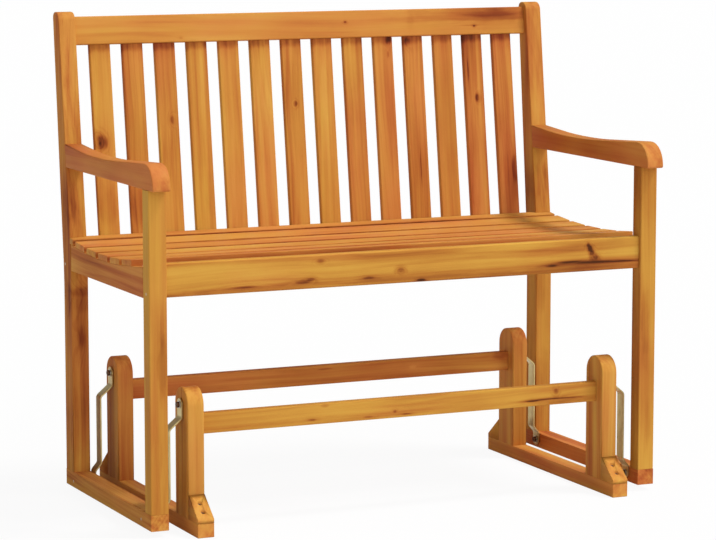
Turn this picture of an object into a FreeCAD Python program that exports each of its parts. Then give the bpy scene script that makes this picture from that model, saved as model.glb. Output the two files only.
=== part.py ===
import FreeCAD, Part
import math
import os

# Glider bench: a slatted two-seat garden bench hung by four bent straps from a standing base.
# Millimetres. +Z is up, +X is right seen from the front, +Y is to the rear.
# The origin is on the floor under the middle of the overall box.

Vector = FreeCAD.Vector

# Side frames of the bench: legs, posts, arms and foot rails are all cut from one thickness.
overall_width = 1100.0
side_thickness = 36.5
side_outer = overall_width / 2
side_inner = side_outer - side_thickness

# Depths are laid off from the front face of the front legs.
leg_front = -256.3
leg_depth = 33.5
post_front = leg_front + 453.8
post_depth = 46.5

# The tops of slats, rails and apron are rounded; the other long edges are chamfered.
# Rails and blocks near the floor only have their sharpness taken off.
edge_round = 3.0
edge_chamfer = 2.5
fine_chamfer = 1.0

# A half-round end keeps this much of its straight sides apart.
tiny_flat = 0.01

foot_rail_bottom = 12.6
foot_rail_top = 44.5
arm_bottom = 668.0
post_top = 980.0

# The post leans back above the seat, and its front leans a little more than its back.
post_front_bend = 480.0
post_back_bend = 449.0
post_front_lean = 0.125
post_back_lean = 0.095
post_bend_radius = 800.0
post_top_front_radius = 18.0
post_top_back_radius = 12.0

# The arm dips in the middle and ends in a round nose in front of the leg.
arm_overhang = 25.0
arm_front_height = 721.2
arm_dip_height = 702.2
arm_dip_from_leg = 291.6
arm_back_height = 716.4
arm_back_from_leg = 500.0
arm_nose_radius = 46.0
arm_dip_radius = 1500.0
arm_nose_under_radius = 4.0

# Seat: six slats lie on a shallow dish, a circle about an axis along the bench.
dish_radius = 1602.0
dish_lowest = 516.3
dish_lowest_from_leg = 273.3
seat_slat_count = 6
seat_slat_width = 55.0
seat_slat_pitch = 68.6
seat_slat_thickness = 12.0
seat_slat_end = 550.0
front_slat_from_leg = 124.5
rear_slat_from_leg = 454.5
rear_slat_width = 29.0
seat_rail_thickness = 22.0
seat_rail_bottom = 460.0
middle_rail_bottom = 472.0

apron_set_back = 7.0
apron_thickness = 20.0
apron_bottom = 461.8
apron_top = 527.6
apron_top_radius = 6.0

# Back: a panel of upright slats between two rails, all leaning on one plane.
back_slope = 0.134
back_foot_from_leg = 468.8
back_foot_height = 505.0
back_slat_count = 14
back_slat_pitch = 70.6
back_slat_width = 44.8
back_slat_thickness = 12.0
back_slat_length = 411.6
back_rail_thickness = 20.0
back_rail_proud = 4.0
top_rail_height = 57.5
lower_rail_height = 42.0

# Joints between timbers.
tenon_length = 12.0
tenon_shoulder = 6.0
slat_tenon_shoulder = 2.5
leg_tenon_length = 15.0
side_tenon_height = 30.0
middle_tenon_height = 20.0
arm_tenon_end = post_front + 44.0

# Base: two floor rails carry four round-topped uprights, tied by two stretchers.
base_inner = 435.0
base_outer = 469.0
floor_rail_height = 28.0
upright_depth = 68.7
upright_top = 281.0
front_pivot_y = leg_front + 47.0
rear_pivot_y = leg_front + 443.0
foot_block_length = 49.65
floor_rail_front = front_pivot_y - upright_depth / 2 - foot_block_length
floor_rail_back = rear_pivot_y + upright_depth / 2 + foot_block_length
front_stretcher_bottom = 187.5
rear_stretcher_bottom = 190.5
stretcher_height = 40.6
stretcher_thickness = 20.0

# Sloping blocks brace the uprights at the four ends of the floor rails.
foot_block_height = 75.0
foot_block_nose = 36.0
block_hole_radius = 5.0
block_hole_depth = 7.0
block_screw_radius = 2.2
block_screw_head_radius = 4.6
block_screw_head_height = 3.0
block_screw_lengths = (46.0, 30.0)
block_hole_fractions = (0.35, 0.70)

# Straps, washers and screws of the swing.
upper_pivot_z = 247.0
lower_pivot_z = 31.0
strap_width = 25.0
strap_thickness = 3.0
strap_bend_radius = 10.0
strap_middle_x = 498.0
upper_bend_heights = (222.0, 200.0)
lower_bend_heights = (62.0, 47.0)
washer_thickness = 1.2
washer_radius = 7.5
washer_bore = 3.3
side_play = 0.1
pivot_radius = 3.0
pivot_clearance = 0.05
screw_head_radius = 5.8
screw_head_height = 5.0
screw_socket_radius = 2.9
screw_socket_depth = 3.0
screw_bite = 24.0
screw_thread_radius = 2.6

# Round bars and holes are drawn with flats: few on plain ones, more where a strap turns.
rod_flats = 10
pivot_flats = 20

# Cover plugs on the outer faces, as (distance behind the leg front, height).
plug_radius = 3.0
plug_depth = 6.0
plug_spots = ((16.4, 470.0), (491.0, 470.0), (56.0, 27.0), (456.0, 25.0))


def box(low, high):
    size = [high[i] - low[i] for i in range(3)]
    return Part.makeBox(size[0], size[1], size[2], Vector(*low))


def one_solid(shape):
    """The single solid that a cut or a fuse leaves; anything else is a modelling mistake."""
    solids = shape.removeSplitter().Solids
    if len(solids) != 1:
        raise ValueError("expected one solid, got %d" % len(solids))
    return solids[0]


def fuse(shape, *others):
    return one_solid(shape.fuse(list(others)))


def cut(shape, *others):
    return one_solid(shape.cut(list(others)))


def mirrored(shape):
    return shape.mirror(Vector(0, 0, 0), Vector(1, 0, 0))


def corner_arc(before, here, after, radius):
    """Start, middle and end of the arc that rounds one corner of a path."""
    back = (before - here).normalize()
    ahead = (after - here).normalize()
    half = back.getAngle(ahead) / 2
    reach = radius / math.tan(half)
    middle = here + (back + ahead).normalize() * (radius / math.sin(half) - radius)
    return here + back * reach, middle, here + ahead * reach


def path(corners, to_space, closed):
    """Wire through corners (a, b, radius), each rounded by an arc that meets both sides."""
    places = [Vector(a, b, 0) for a, b, radius in corners]
    count = len(corners)
    bends = []
    for i, (a, b, radius) in enumerate(corners):
        if radius == 0:
            bends.append([places[i]])
        else:
            bends.append(corner_arc(places[i - 1], places[i], places[(i + 1) % count], radius))
    edges = []
    for i, bend in enumerate(bends):
        points = [to_space(p.x, p.y) for p in bend]
        if len(points) == 3:
            edges.append(Part.Arc(*points).toShape())
        if i == count - 1 and not closed:
            break
        following = bends[(i + 1) % count][0]
        edges.append(Part.makeLine(points[-1], to_space(following.x, following.y)))
    return Part.Wire(edges)


def rod(radius, length, start, way, flats=rod_flats):
    """Round bar for a small fastener, drawn with flats; the radius is that of its corners."""
    way = Vector(way).normalize()
    across = Vector(0, 0, 1) if abs(way.z) < 0.9 else Vector(1, 0, 0)
    u = way.cross(across).normalize()
    v = way.cross(u)
    turns = [2 * math.pi * i / flats for i in range(flats + 1)]
    rim = [start + u * (radius * math.cos(t)) + v * (radius * math.sin(t)) for t in turns]
    return Part.Face(Part.makePolygon(rim)).extrude(way * length)


def side_cut_board(corners, x_low, x_high):
    """Board with the given side outline in Y and Z, and its thickness along X."""
    wire = path(corners, lambda y, z: Vector(x_low, y, z), True)
    return Part.Face(wire).extrude(Vector(x_high - x_low, 0, 0))


def round_edges(shape, radius, wanted):
    return shape.makeFillet(radius, [edge for edge in shape.Edges if wanted(edge.BoundBox)])


def chamfer_edges(shape, wanted, size=edge_chamfer):
    return shape.makeChamfer(size, [edge for edge in shape.Edges if wanted(edge.BoundBox)])


def on_side_face(room):
    """True for an edge that lies in one side face of a board, where X stays the same."""
    return room.XLength < 0.01


def along_x(room):
    return room.YLength < 0.01 and room.ZLength < 0.01


def along_y(room):
    return room.XLength < 0.01 and room.ZLength < 0.01


def along_z(room):
    return room.XLength < 0.01 and room.YLength < 0.01


def slopes(room):
    """True for an edge in a side face that runs neither level nor upright."""
    return on_side_face(room) and room.YLength > 1 and room.ZLength > 1


# Seat dish

dish_centre_y = leg_front + dish_lowest_from_leg
dish_centre_z = dish_lowest + dish_radius


def slat_middle(number):
    """Distance to the rear of the middle of seat slat 1 (rear) to 6 (front)."""
    if number == 1:
        return leg_front + rear_slat_from_leg
    return leg_front + front_slat_from_leg + seat_slat_pitch * (seat_slat_count - number)


def slat_tilt(number):
    return math.asin((slat_middle(number) - dish_centre_y) / dish_radius)


def underside_height(number, y):
    """Height of the underside plane of one seat slat at a distance y."""
    tilt = slat_tilt(number)
    reach = dish_radius + seat_slat_thickness
    return dish_centre_z + ((y - dish_centre_y) * math.sin(tilt) - reach) / math.cos(tilt)


def seat_rail(x_low, x_high, y_front, y_back, bottom):
    """Bearer whose top has a flat under each slat; the flats meet in the gaps."""
    corners = [(y_front, bottom, 0), (y_front, underside_height(seat_slat_count, y_front), 0)]
    for number in range(seat_slat_count, 1, -1):
        tilt = (slat_tilt(number) + slat_tilt(number - 1)) / 2
        opening = (slat_tilt(number - 1) - slat_tilt(number)) / 2
        reach = (dish_radius + seat_slat_thickness) / math.cos(opening)
        corners.append((dish_centre_y + reach * math.sin(tilt), dish_centre_z - reach * math.cos(tilt), 0))
    corners.append((y_back, underside_height(1, y_back), 0))
    corners.append((y_back, bottom, 0))
    return side_cut_board(corners, x_low, x_high)


def seat_slat(number):
    width = rear_slat_width if number == 1 else seat_slat_width
    low = (-seat_slat_end, dish_centre_y - width / 2, dish_lowest - seat_slat_thickness)
    high = (seat_slat_end, dish_centre_y + width / 2, dish_lowest)
    slat = round_edges(box(low, high), edge_round, lambda room: along_x(room) and room.ZMin > dish_lowest - 1)
    slat.rotate(Vector(0, dish_centre_y, dish_centre_z), Vector(1, 0, 0), math.degrees(slat_tilt(number)))
    return slat


# Back panel, drawn upright and then leaned

def leaned(shape):
    """Move a shape drawn with the back's front plane at Y 0 and its foot at Z 0 to its place."""
    turned = shape.copy()
    turned.rotate(Vector(0, 0, 0), Vector(1, 0, 0), -math.degrees(math.atan(back_slope)))
    turned.translate(Vector(0, leg_front + back_foot_from_leg, back_foot_height))
    return turned


def back_rail(bottom, top):
    """Rail between the posts, with a rounded top and a tenon at each end."""
    front = -back_rail_proud
    back = front + back_rail_thickness
    rail = box((-side_inner, front, bottom), (side_inner, back, top))
    rail = round_edges(rail, edge_round, lambda room: along_x(room) and room.ZMin > top - 1)
    rail = chamfer_edges(rail, lambda room: along_x(room) and room.ZMax < bottom + 1)
    reach = side_inner + tenon_length
    low = (-reach, front + tenon_shoulder, bottom + tenon_shoulder)
    high = (reach, back - tenon_shoulder, top - tenon_shoulder)
    return fuse(rail, box(low, high))


def back_slat(x_middle):
    """Straight slat with a stub tenon into each rail."""
    half = back_slat_width / 2
    blade = box((x_middle - half, 0, 0), (x_middle + half, back_slat_thickness, back_slat_length))
    blade = chamfer_edges(blade, along_z)
    shoulder = slat_tenon_shoulder
    low = (x_middle - half + 2 * shoulder, shoulder, -tenon_length)
    high = (x_middle + half - 2 * shoulder, back_slat_thickness - shoulder, back_slat_length + tenon_length)
    return fuse(blade, box(low, high))


# Side frame of the bench, drawn on the right

def rear_post():
    lean_front = post_front + post_front_lean * (post_top - post_front_bend)
    post_back = post_front + post_depth
    lean_back = post_back + post_back_lean * (post_top - post_back_bend)
    corners = [
        (post_front, foot_rail_top, 0),
        (post_front, post_front_bend, post_bend_radius),
        (lean_front, post_top, post_top_front_radius),
        (lean_back, post_top, post_top_back_radius),
        (post_back, post_back_bend, post_bend_radius),
        (post_back, foot_rail_top, 0),
    ]
    post = side_cut_board(corners, side_inner, side_outer)
    return chamfer_edges(post, lambda room: on_side_face(room) and room.ZMax > foot_rail_top + 1)


def leg_tenon(y_front, y_back, z_low, z_high):
    """Stub tenon, set in from every face of the leg."""
    low = (side_inner + tenon_shoulder, y_front + tenon_shoulder, z_low)
    high = (side_outer - tenon_shoulder, y_back - tenon_shoulder, z_high)
    return box(low, high)


def front_leg():
    leg = box((side_inner, leg_front, foot_rail_top), (side_outer, leg_front + leg_depth, arm_bottom))
    leg = chamfer_edges(leg, along_z)
    low = foot_rail_top - leg_tenon_length
    high = arm_bottom + leg_tenon_length
    return fuse(leg, leg_tenon(leg_front, leg_front + leg_depth, low, high))


def armrest():
    nose = leg_front - arm_overhang
    corners = [
        (nose, arm_bottom, arm_nose_under_radius),
        (nose, arm_front_height, arm_nose_radius),
        (leg_front + arm_dip_from_leg, arm_dip_height, arm_dip_radius),
        (leg_front + arm_back_from_leg, arm_back_height, 0),
        (leg_front + arm_back_from_leg, arm_bottom, 0),
    ]
    arm = side_cut_board(corners, side_inner, side_outer)
    back_end = leg_front + arm_back_from_leg
    return chamfer_edges(arm, lambda room: on_side_face(room) and room.YMin < back_end - 1)


def arm_tenon():
    low = (side_inner + tenon_shoulder, post_front + tenon_length, arm_bottom + tenon_shoulder)
    high = (side_outer - tenon_shoulder, arm_tenon_end, arm_bottom + tenon_shoulder + side_tenon_height)
    return box(low, high)


def foot_rail():
    low = (side_inner, leg_front, foot_rail_bottom)
    high = (side_outer, post_front + post_depth, foot_rail_top)
    return chamfer_edges(box(low, high), along_y, fine_chamfer)


def front_apron():
    front = leg_front + apron_set_back
    back = front + apron_thickness
    apron = box((-side_inner, front, apron_bottom), (side_inner, back, apron_top))
    apron = round_edges(apron, apron_top_radius, lambda room: along_x(room) and room.ZMin > apron_top - 1)
    apron = chamfer_edges(apron, lambda room: along_x(room) and room.ZMax < apron_bottom + 1)
    reach = side_inner + tenon_length
    low = (-reach, front + tenon_shoulder, apron_bottom + tenon_shoulder)
    high = (reach, back - tenon_shoulder, apron_top - 2 * tenon_shoulder)
    return fuse(apron, box(low, high))


def side_seat_rail():
    """Bearer flush with the outer faces, tenoned into the leg and the post."""
    inner = side_outer - seat_rail_thickness
    front = leg_front + leg_depth
    rail = seat_rail(inner, side_outer, front, post_front, seat_rail_bottom)
    bottom = seat_rail_bottom + tenon_shoulder
    low = (inner + tenon_shoulder, front - tenon_length, bottom)
    high = (side_outer - tenon_shoulder, post_front + tenon_length, bottom + side_tenon_height)
    return fuse(rail, box(low, high))


def middle_seat_rail(lower_rail):
    """Bearer under the middle of the slats, from the apron to the lower back rail."""
    half = seat_rail_thickness / 2
    front = leg_front + apron_set_back + apron_thickness
    rail = seat_rail(-half, half, front, post_front + back_rail_thickness, middle_rail_bottom)
    reach = seat_slat_width
    behind = leaned(box((-reach, -back_rail_proud, -reach), (reach, reach, reach)))
    rail = cut(rail, behind)
    bottom = middle_rail_bottom + tenon_shoulder
    back = lower_rail.BoundBox.YMin
    low = (-half + tenon_shoulder, front - tenon_length, bottom)
    high = (half - tenon_shoulder, back + tenon_length, bottom + middle_tenon_height)
    return fuse(rail, box(low, high))


def cover_plugs():
    """Short round plugs, flush with the outer face."""
    plugs = []
    for from_leg, height in plug_spots:
        foot = Vector(side_outer - plug_depth, leg_front + from_leg, height)
        plugs.append(rod(plug_radius, plug_depth, foot, Vector(1, 0, 0)))
    return plugs


# Base, drawn on the right and at the front

def upright(y_middle):
    half = upright_depth / 2
    corners = [
        (y_middle - half, floor_rail_height, 0),
        (y_middle - half, upright_top, half - tiny_flat),
        (y_middle + half, upright_top, half - tiny_flat),
        (y_middle + half, floor_rail_height, 0),
    ]
    board = side_cut_board(corners, base_inner, base_outer)
    board = chamfer_edges(board, lambda room: on_side_face(room) and room.ZMax > floor_rail_height + 1)
    inset = half - 2 * tenon_shoulder
    low = (base_inner + tenon_shoulder, y_middle - inset, floor_rail_height - leg_tenon_length)
    high = (base_outer - tenon_shoulder, y_middle + inset, floor_rail_height)
    return fuse(board, box(low, high))


def floor_rail():
    low = (base_inner, floor_rail_front, 0)
    high = (base_outer, floor_rail_back, floor_rail_height)
    return chamfer_edges(box(low, high), along_y, fine_chamfer)


def stretcher(y_middle, bottom):
    half = stretcher_thickness / 2
    top = bottom + stretcher_height
    rail = box((-base_inner, y_middle - half, bottom), (base_inner, y_middle + half, top))
    rail = chamfer_edges(rail, along_x)
    reach = base_inner + tenon_length
    low = (-reach, y_middle - half + tenon_shoulder, bottom + tenon_shoulder)
    high = (reach, y_middle + half - tenon_shoulder, top - tenon_shoulder)
    return fuse(rail, box(low, high))


def foot_block(y_upright, y_nose):
    """Wedge between an upright and the end of the floor rail, with a sloping face."""
    corners = [
        (y_upright, floor_rail_height, 0),
        (y_upright, foot_block_height, 0),
        (y_nose, foot_block_nose, 0),
        (y_nose, floor_rail_height, 0),
    ]
    block = side_cut_board(corners, base_inner, base_outer)
    return chamfer_edges(block, slopes, fine_chamfer)


def slope_frames(y_upright, y_nose):
    """Centres of the two screw holes on a block's slope, and the way the screws drive in."""
    top = Vector(0, y_upright, foot_block_height)
    low = Vector(0, y_nose, foot_block_nose)
    along = low - top
    inward = Vector(0, -along.z, along.y) if along.y < 0 else Vector(0, along.z, -along.y)
    inward.normalize()
    middle_x = (base_inner + base_outer) / 2
    return [(Vector(middle_x, 0, 0) + top + along * part, inward) for part in block_hole_fractions]


def block_screw(mouth, inward, length):
    """Screw seated at the bottom of its counterbore."""
    seat = mouth + inward * block_hole_depth
    crown = seat - inward * block_screw_head_height
    head = rod(block_screw_head_radius, block_screw_head_height, crown, inward)
    shank = rod(block_screw_radius, length, seat, inward)
    return fuse(head, shank)


# Swing: straps, washers and pivot screws, drawn on the right

upper_tab_inner = base_outer + washer_thickness + side_play
upper_tab_middle = upper_tab_inner + strap_thickness / 2
lower_tab_middle = side_inner - washer_thickness - side_play - strap_thickness / 2


def strap(y_middle):
    """Flat strap with two joggles, from the upright's outer face to the foot rail's inner face."""
    top = upper_pivot_z + strap_width / 2
    bottom = lower_pivot_z - strap_width / 2
    spine = [
        (upper_tab_middle, top, 0),
        (upper_tab_middle, upper_bend_heights[0], strap_bend_radius),
        (strap_middle_x, upper_bend_heights[1], strap_bend_radius),
        (strap_middle_x, lower_bend_heights[0], strap_bend_radius),
        (lower_tab_middle, lower_bend_heights[1], strap_bend_radius),
        (lower_tab_middle, bottom, 0),
    ]
    bend_line = path(spine, lambda x, z: Vector(x, y_middle, z), False)
    half = strap_width / 2
    thin = strap_thickness / 2
    section = Part.makePolygon([
        Vector(upper_tab_middle - thin, y_middle - half, top),
        Vector(upper_tab_middle + thin, y_middle - half, top),
        Vector(upper_tab_middle + thin, y_middle + half, top),
        Vector(upper_tab_middle - thin, y_middle + half, top),
        Vector(upper_tab_middle - thin, y_middle - half, top),
    ])
    bent = bend_line.makePipeShell([section], True, False)
    plan = [
        (y_middle - half, bottom, half - tiny_flat),
        (y_middle - half, top, half - tiny_flat),
        (y_middle + half, top, half - tiny_flat),
        (y_middle + half, bottom, half - tiny_flat),
    ]
    rounded = side_cut_board(plan, base_outer, side_inner)
    bent = one_solid(bent.common(rounded))
    hole_radius = (pivot_radius + pivot_clearance) / math.cos(math.pi / pivot_flats)
    reach = side_inner - base_outer
    holes = []
    for height in (upper_pivot_z, lower_pivot_z):
        start = Vector(base_outer, y_middle, height)
        holes.append(rod(hole_radius, reach, start, Vector(1, 0, 0), pivot_flats))
    return cut(bent, *holes)


def washer(x_low, y, z):
    start = Vector(x_low, y, z)
    way = Vector(1, 0, 0)
    bore = rod(washer_bore, washer_thickness, start, way)
    return cut(rod(washer_radius, washer_thickness, start, way), bore)


def pivot_screw(wood, outward, room):
    """Shoulder screw: a round shoulder carries washers and tab, and the thread beyond it bites the timber."""
    way = Vector(outward, 0, 0)
    seat = wood + way * room
    crown = seat + way * screw_head_height
    corners = [math.radians(60 * i) for i in range(7)]
    rim = [crown + Vector(0, math.cos(t), math.sin(t)) * screw_socket_radius for t in corners]
    socket = Part.Face(Part.makePolygon(rim)).extrude(way * -screw_socket_depth)
    head = cut(rod(screw_head_radius, screw_head_height, seat, way), socket)
    shoulder = rod(pivot_radius, room, wood, way, pivot_flats)
    thread = rod(screw_thread_radius, screw_bite, wood, way * -1)
    return fuse(head, shoulder, thread)


def pivot_set(y, z, wood_x, outward):
    """Washers each side of a strap's tab, and the screw through them into the timber."""
    tab_room = strap_thickness + 2 * side_play
    gap = outward * (washer_thickness + tab_room)
    inner = wood_x + min(outward, 0) * washer_thickness
    washers = [washer(inner, y, z), washer(inner + gap, y, z)]
    return washers, pivot_screw(Vector(wood_x, y, z), outward, 2 * washer_thickness + tab_room)


def build():
    nodes = {}

    # Back panel
    lower_rail = leaned(back_rail(-lower_rail_height, 0))
    top_rail = leaned(back_rail(back_slat_length, back_slat_length + top_rail_height))
    slats = []
    for i in range(back_slat_count):
        slats.append(leaned(back_slat(back_slat_pitch * (i - (back_slat_count - 1) / 2))))
        nodes["back_slat_%02d" % (i + 1)] = slats[-1]
    lower_rail = cut(lower_rail, *slats)
    top_rail = cut(top_rail, *slats)

    # Right side frame
    post = rear_post()
    leg = front_leg()
    arm = cut(armrest(), post)
    arm = fuse(arm, arm_tenon())
    arm = cut(arm, leg)
    apron = front_apron()
    side_rail = side_seat_rail()
    middle_rail = middle_seat_rail(lower_rail)
    apron = cut(apron, middle_rail)
    lower_rail = cut(lower_rail, middle_rail)
    post = fuse(post, leg_tenon(post_front, post_front + post_depth,
                                foot_rail_top - leg_tenon_length, foot_rail_top))

    seat_slats = [seat_slat(number) for number in range(1, seat_slat_count + 1)]
    raw_post = post
    seat_slats[0] = cut(seat_slats[0], raw_post, mirrored(raw_post))
    for number, slat in enumerate(seat_slats, 1):
        nodes["seat_slat_%d" % number] = slat

    rail = cut(foot_rail(), leg, post)
    post = cut(post, arm, side_rail, lower_rail, top_rail)
    leg = cut(leg, apron, side_rail)
    plugs = cover_plugs()
    leg = cut(leg, plugs[0])
    post = cut(post, plugs[1])

    # Base, right half
    uprights = {"front": upright(front_pivot_y), "rear": upright(rear_pivot_y)}
    stretchers = {
        "front": stretcher(front_pivot_y, front_stretcher_bottom),
        "rear": stretcher(rear_pivot_y, rear_stretcher_bottom),
    }
    half = upright_depth / 2
    ends = {
        "front": (front_pivot_y - half, floor_rail_front),
        "rear": (rear_pivot_y + half, floor_rail_back),
    }
    base_rail = cut(floor_rail(), uprights["front"], uprights["rear"])
    blocks = {}
    block_screws = []
    for end, (y_upright, y_nose) in ends.items():
        block = foot_block(y_upright, y_nose)
        for (mouth, inward), length in zip(slope_frames(y_upright, y_nose), block_screw_lengths):
            above = block_hole_radius
            bore = rod(block_hole_radius, block_hole_depth + above, mouth - inward * above, inward)
            screw = block_screw(mouth, inward, length)
            block = cut(block, bore, screw)
            base_rail = cut(base_rail, screw)
            uprights[end] = cut(uprights[end], screw)
            block_screws.append(screw)
        blocks[end] = block

    upper_washers = []
    upper_screws = []
    lower_washers = []
    lower_screws = []
    straps = {}
    for end, y in (("front", front_pivot_y), ("rear", rear_pivot_y)):
        rings, screw = pivot_set(y, upper_pivot_z, base_outer, 1)
        upper_washers += rings
        upper_screws.append(screw)
        uprights[end] = cut(uprights[end], screw, stretchers[end])
        rings, screw = pivot_set(y, lower_pivot_z, side_inner, -1)
        lower_washers += rings
        lower_screws.append(screw)
        rail = cut(rail, screw)
        straps[end] = strap(y)
    rail = cut(rail, plugs[2], plugs[3])

    # Both sides of everything that comes in pairs
    paired = {
        "rear_post": post,
        "front_leg": leg,
        "armrest": arm,
        "side_seat_rail": side_rail,
        "foot_rail": rail,
        "floor_rail": base_rail,
    }
    for end in ("front", "rear"):
        paired["upright_" + end] = uprights[end]
        paired["foot_block_" + end] = blocks[end]
        paired["link_" + end] = straps[end]
        nodes["stretcher_" + end] = stretchers[end]
    for name, shape in paired.items():
        nodes[name + "_right"] = shape
        nodes[name + "_left"] = mirrored(shape)

    groups = {
        "joint_plugs": plugs,
        "foot_block_screws": block_screws,
        "upper_pivot_screws": upper_screws,
        "upper_pivot_washers": upper_washers,
        "lower_pivot_screws": lower_screws,
        "lower_pivot_washers": lower_washers,
    }
    for name, solids in groups.items():
        nodes[name] = Part.makeCompound(solids + [mirrored(solid) for solid in solids])

    nodes["front_apron"] = apron
    nodes["middle_seat_rail"] = middle_rail
    nodes["lower_back_rail"] = lower_rail
    nodes["top_back_rail"] = top_rail
    return nodes


os.makedirs("parts", exist_ok=True)
for node_name, node_shape in build().items():
    node_shape.exportStep("parts/%s.step" % node_name)
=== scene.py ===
import math
import random

import bmesh
import bpy
from bmesh.types import BMEdge, BMVert
from bpy.props import FloatProperty, FloatVectorProperty, IntProperty, PointerProperty
from mathutils import Euler, Matrix, Vector


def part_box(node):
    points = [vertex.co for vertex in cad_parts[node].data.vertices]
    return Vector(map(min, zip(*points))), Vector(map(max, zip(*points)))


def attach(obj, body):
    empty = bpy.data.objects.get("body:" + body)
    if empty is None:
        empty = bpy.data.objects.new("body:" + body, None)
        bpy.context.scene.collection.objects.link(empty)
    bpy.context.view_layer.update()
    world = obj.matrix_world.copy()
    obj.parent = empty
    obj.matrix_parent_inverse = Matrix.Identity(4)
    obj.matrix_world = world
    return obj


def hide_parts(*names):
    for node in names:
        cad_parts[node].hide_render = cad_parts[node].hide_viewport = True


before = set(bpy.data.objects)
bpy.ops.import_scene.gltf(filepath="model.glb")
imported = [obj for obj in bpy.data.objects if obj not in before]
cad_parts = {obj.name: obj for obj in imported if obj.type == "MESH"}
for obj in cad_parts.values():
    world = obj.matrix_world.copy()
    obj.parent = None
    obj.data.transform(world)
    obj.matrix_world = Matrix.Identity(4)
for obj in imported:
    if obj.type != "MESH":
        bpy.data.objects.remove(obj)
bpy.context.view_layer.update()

bl_info = {
    "name": "Glider bench",
    "version": (1, 0, 0),
    "blender": (4, 5, 0),
    "location": "3D View > Sidebar > Bench",
    "description": "Builds an oiled hardwood glider bench around its construction frame",
    "category": "Object",
}

AXIS_X = Vector((1, 0, 0))
AXIS_Y = Vector((0, 1, 0))
AXIS_Z = Vector((0, 0, 1))
AXES = {"X": AXIS_X, "Y": AXIS_Y, "Z": AXIS_Z}
SIDES = ("left", "right")
ENDS = ("front", "rear")
SEAT_SLATS = 6
BACK_SLATS = 14

# Places nearer to each other than this are the same
HAIR = 1e-6

# Body that a timber rides on, and its material slot
BENCH_TIMBER = ("bench", "acacia")
BACK_SLAT = ("bench", "acacia_back_slats")
SEAT_SLAT = ("bench", "acacia_seat_slats")
BASE_TIMBER = ("base", "acacia_base")

# Body that holds the pivot screws of each level
LEVELS = (("upper", "base"), ("lower", "bench"))

# What the frame says about the side frames and the base
foot_low, foot_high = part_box("foot_rail_right")
floor_low, floor_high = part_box("floor_rail_right")
arm_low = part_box("armrest_right")[0]
post_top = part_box("rear_post_right")[1].z
side_inner = foot_low.x
side_outer = foot_high.x
leg_front = foot_low.y
foot_top = foot_high.z
base_inner = floor_low.x
base_outer = floor_high.x
floor_top = floor_high.z


# Properties

def length(name, description, default):
    return FloatProperty(name=name, description=description, default=default, unit="LENGTH", min=0.0)


def number(name, description, default):
    return FloatProperty(name=name, description=description, default=default)


def colour(name, description, default):
    return FloatVectorProperty(name=name, description=description, default=default, size=3,
                               subtype="COLOR", min=0.0, max=1.0)


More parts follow.
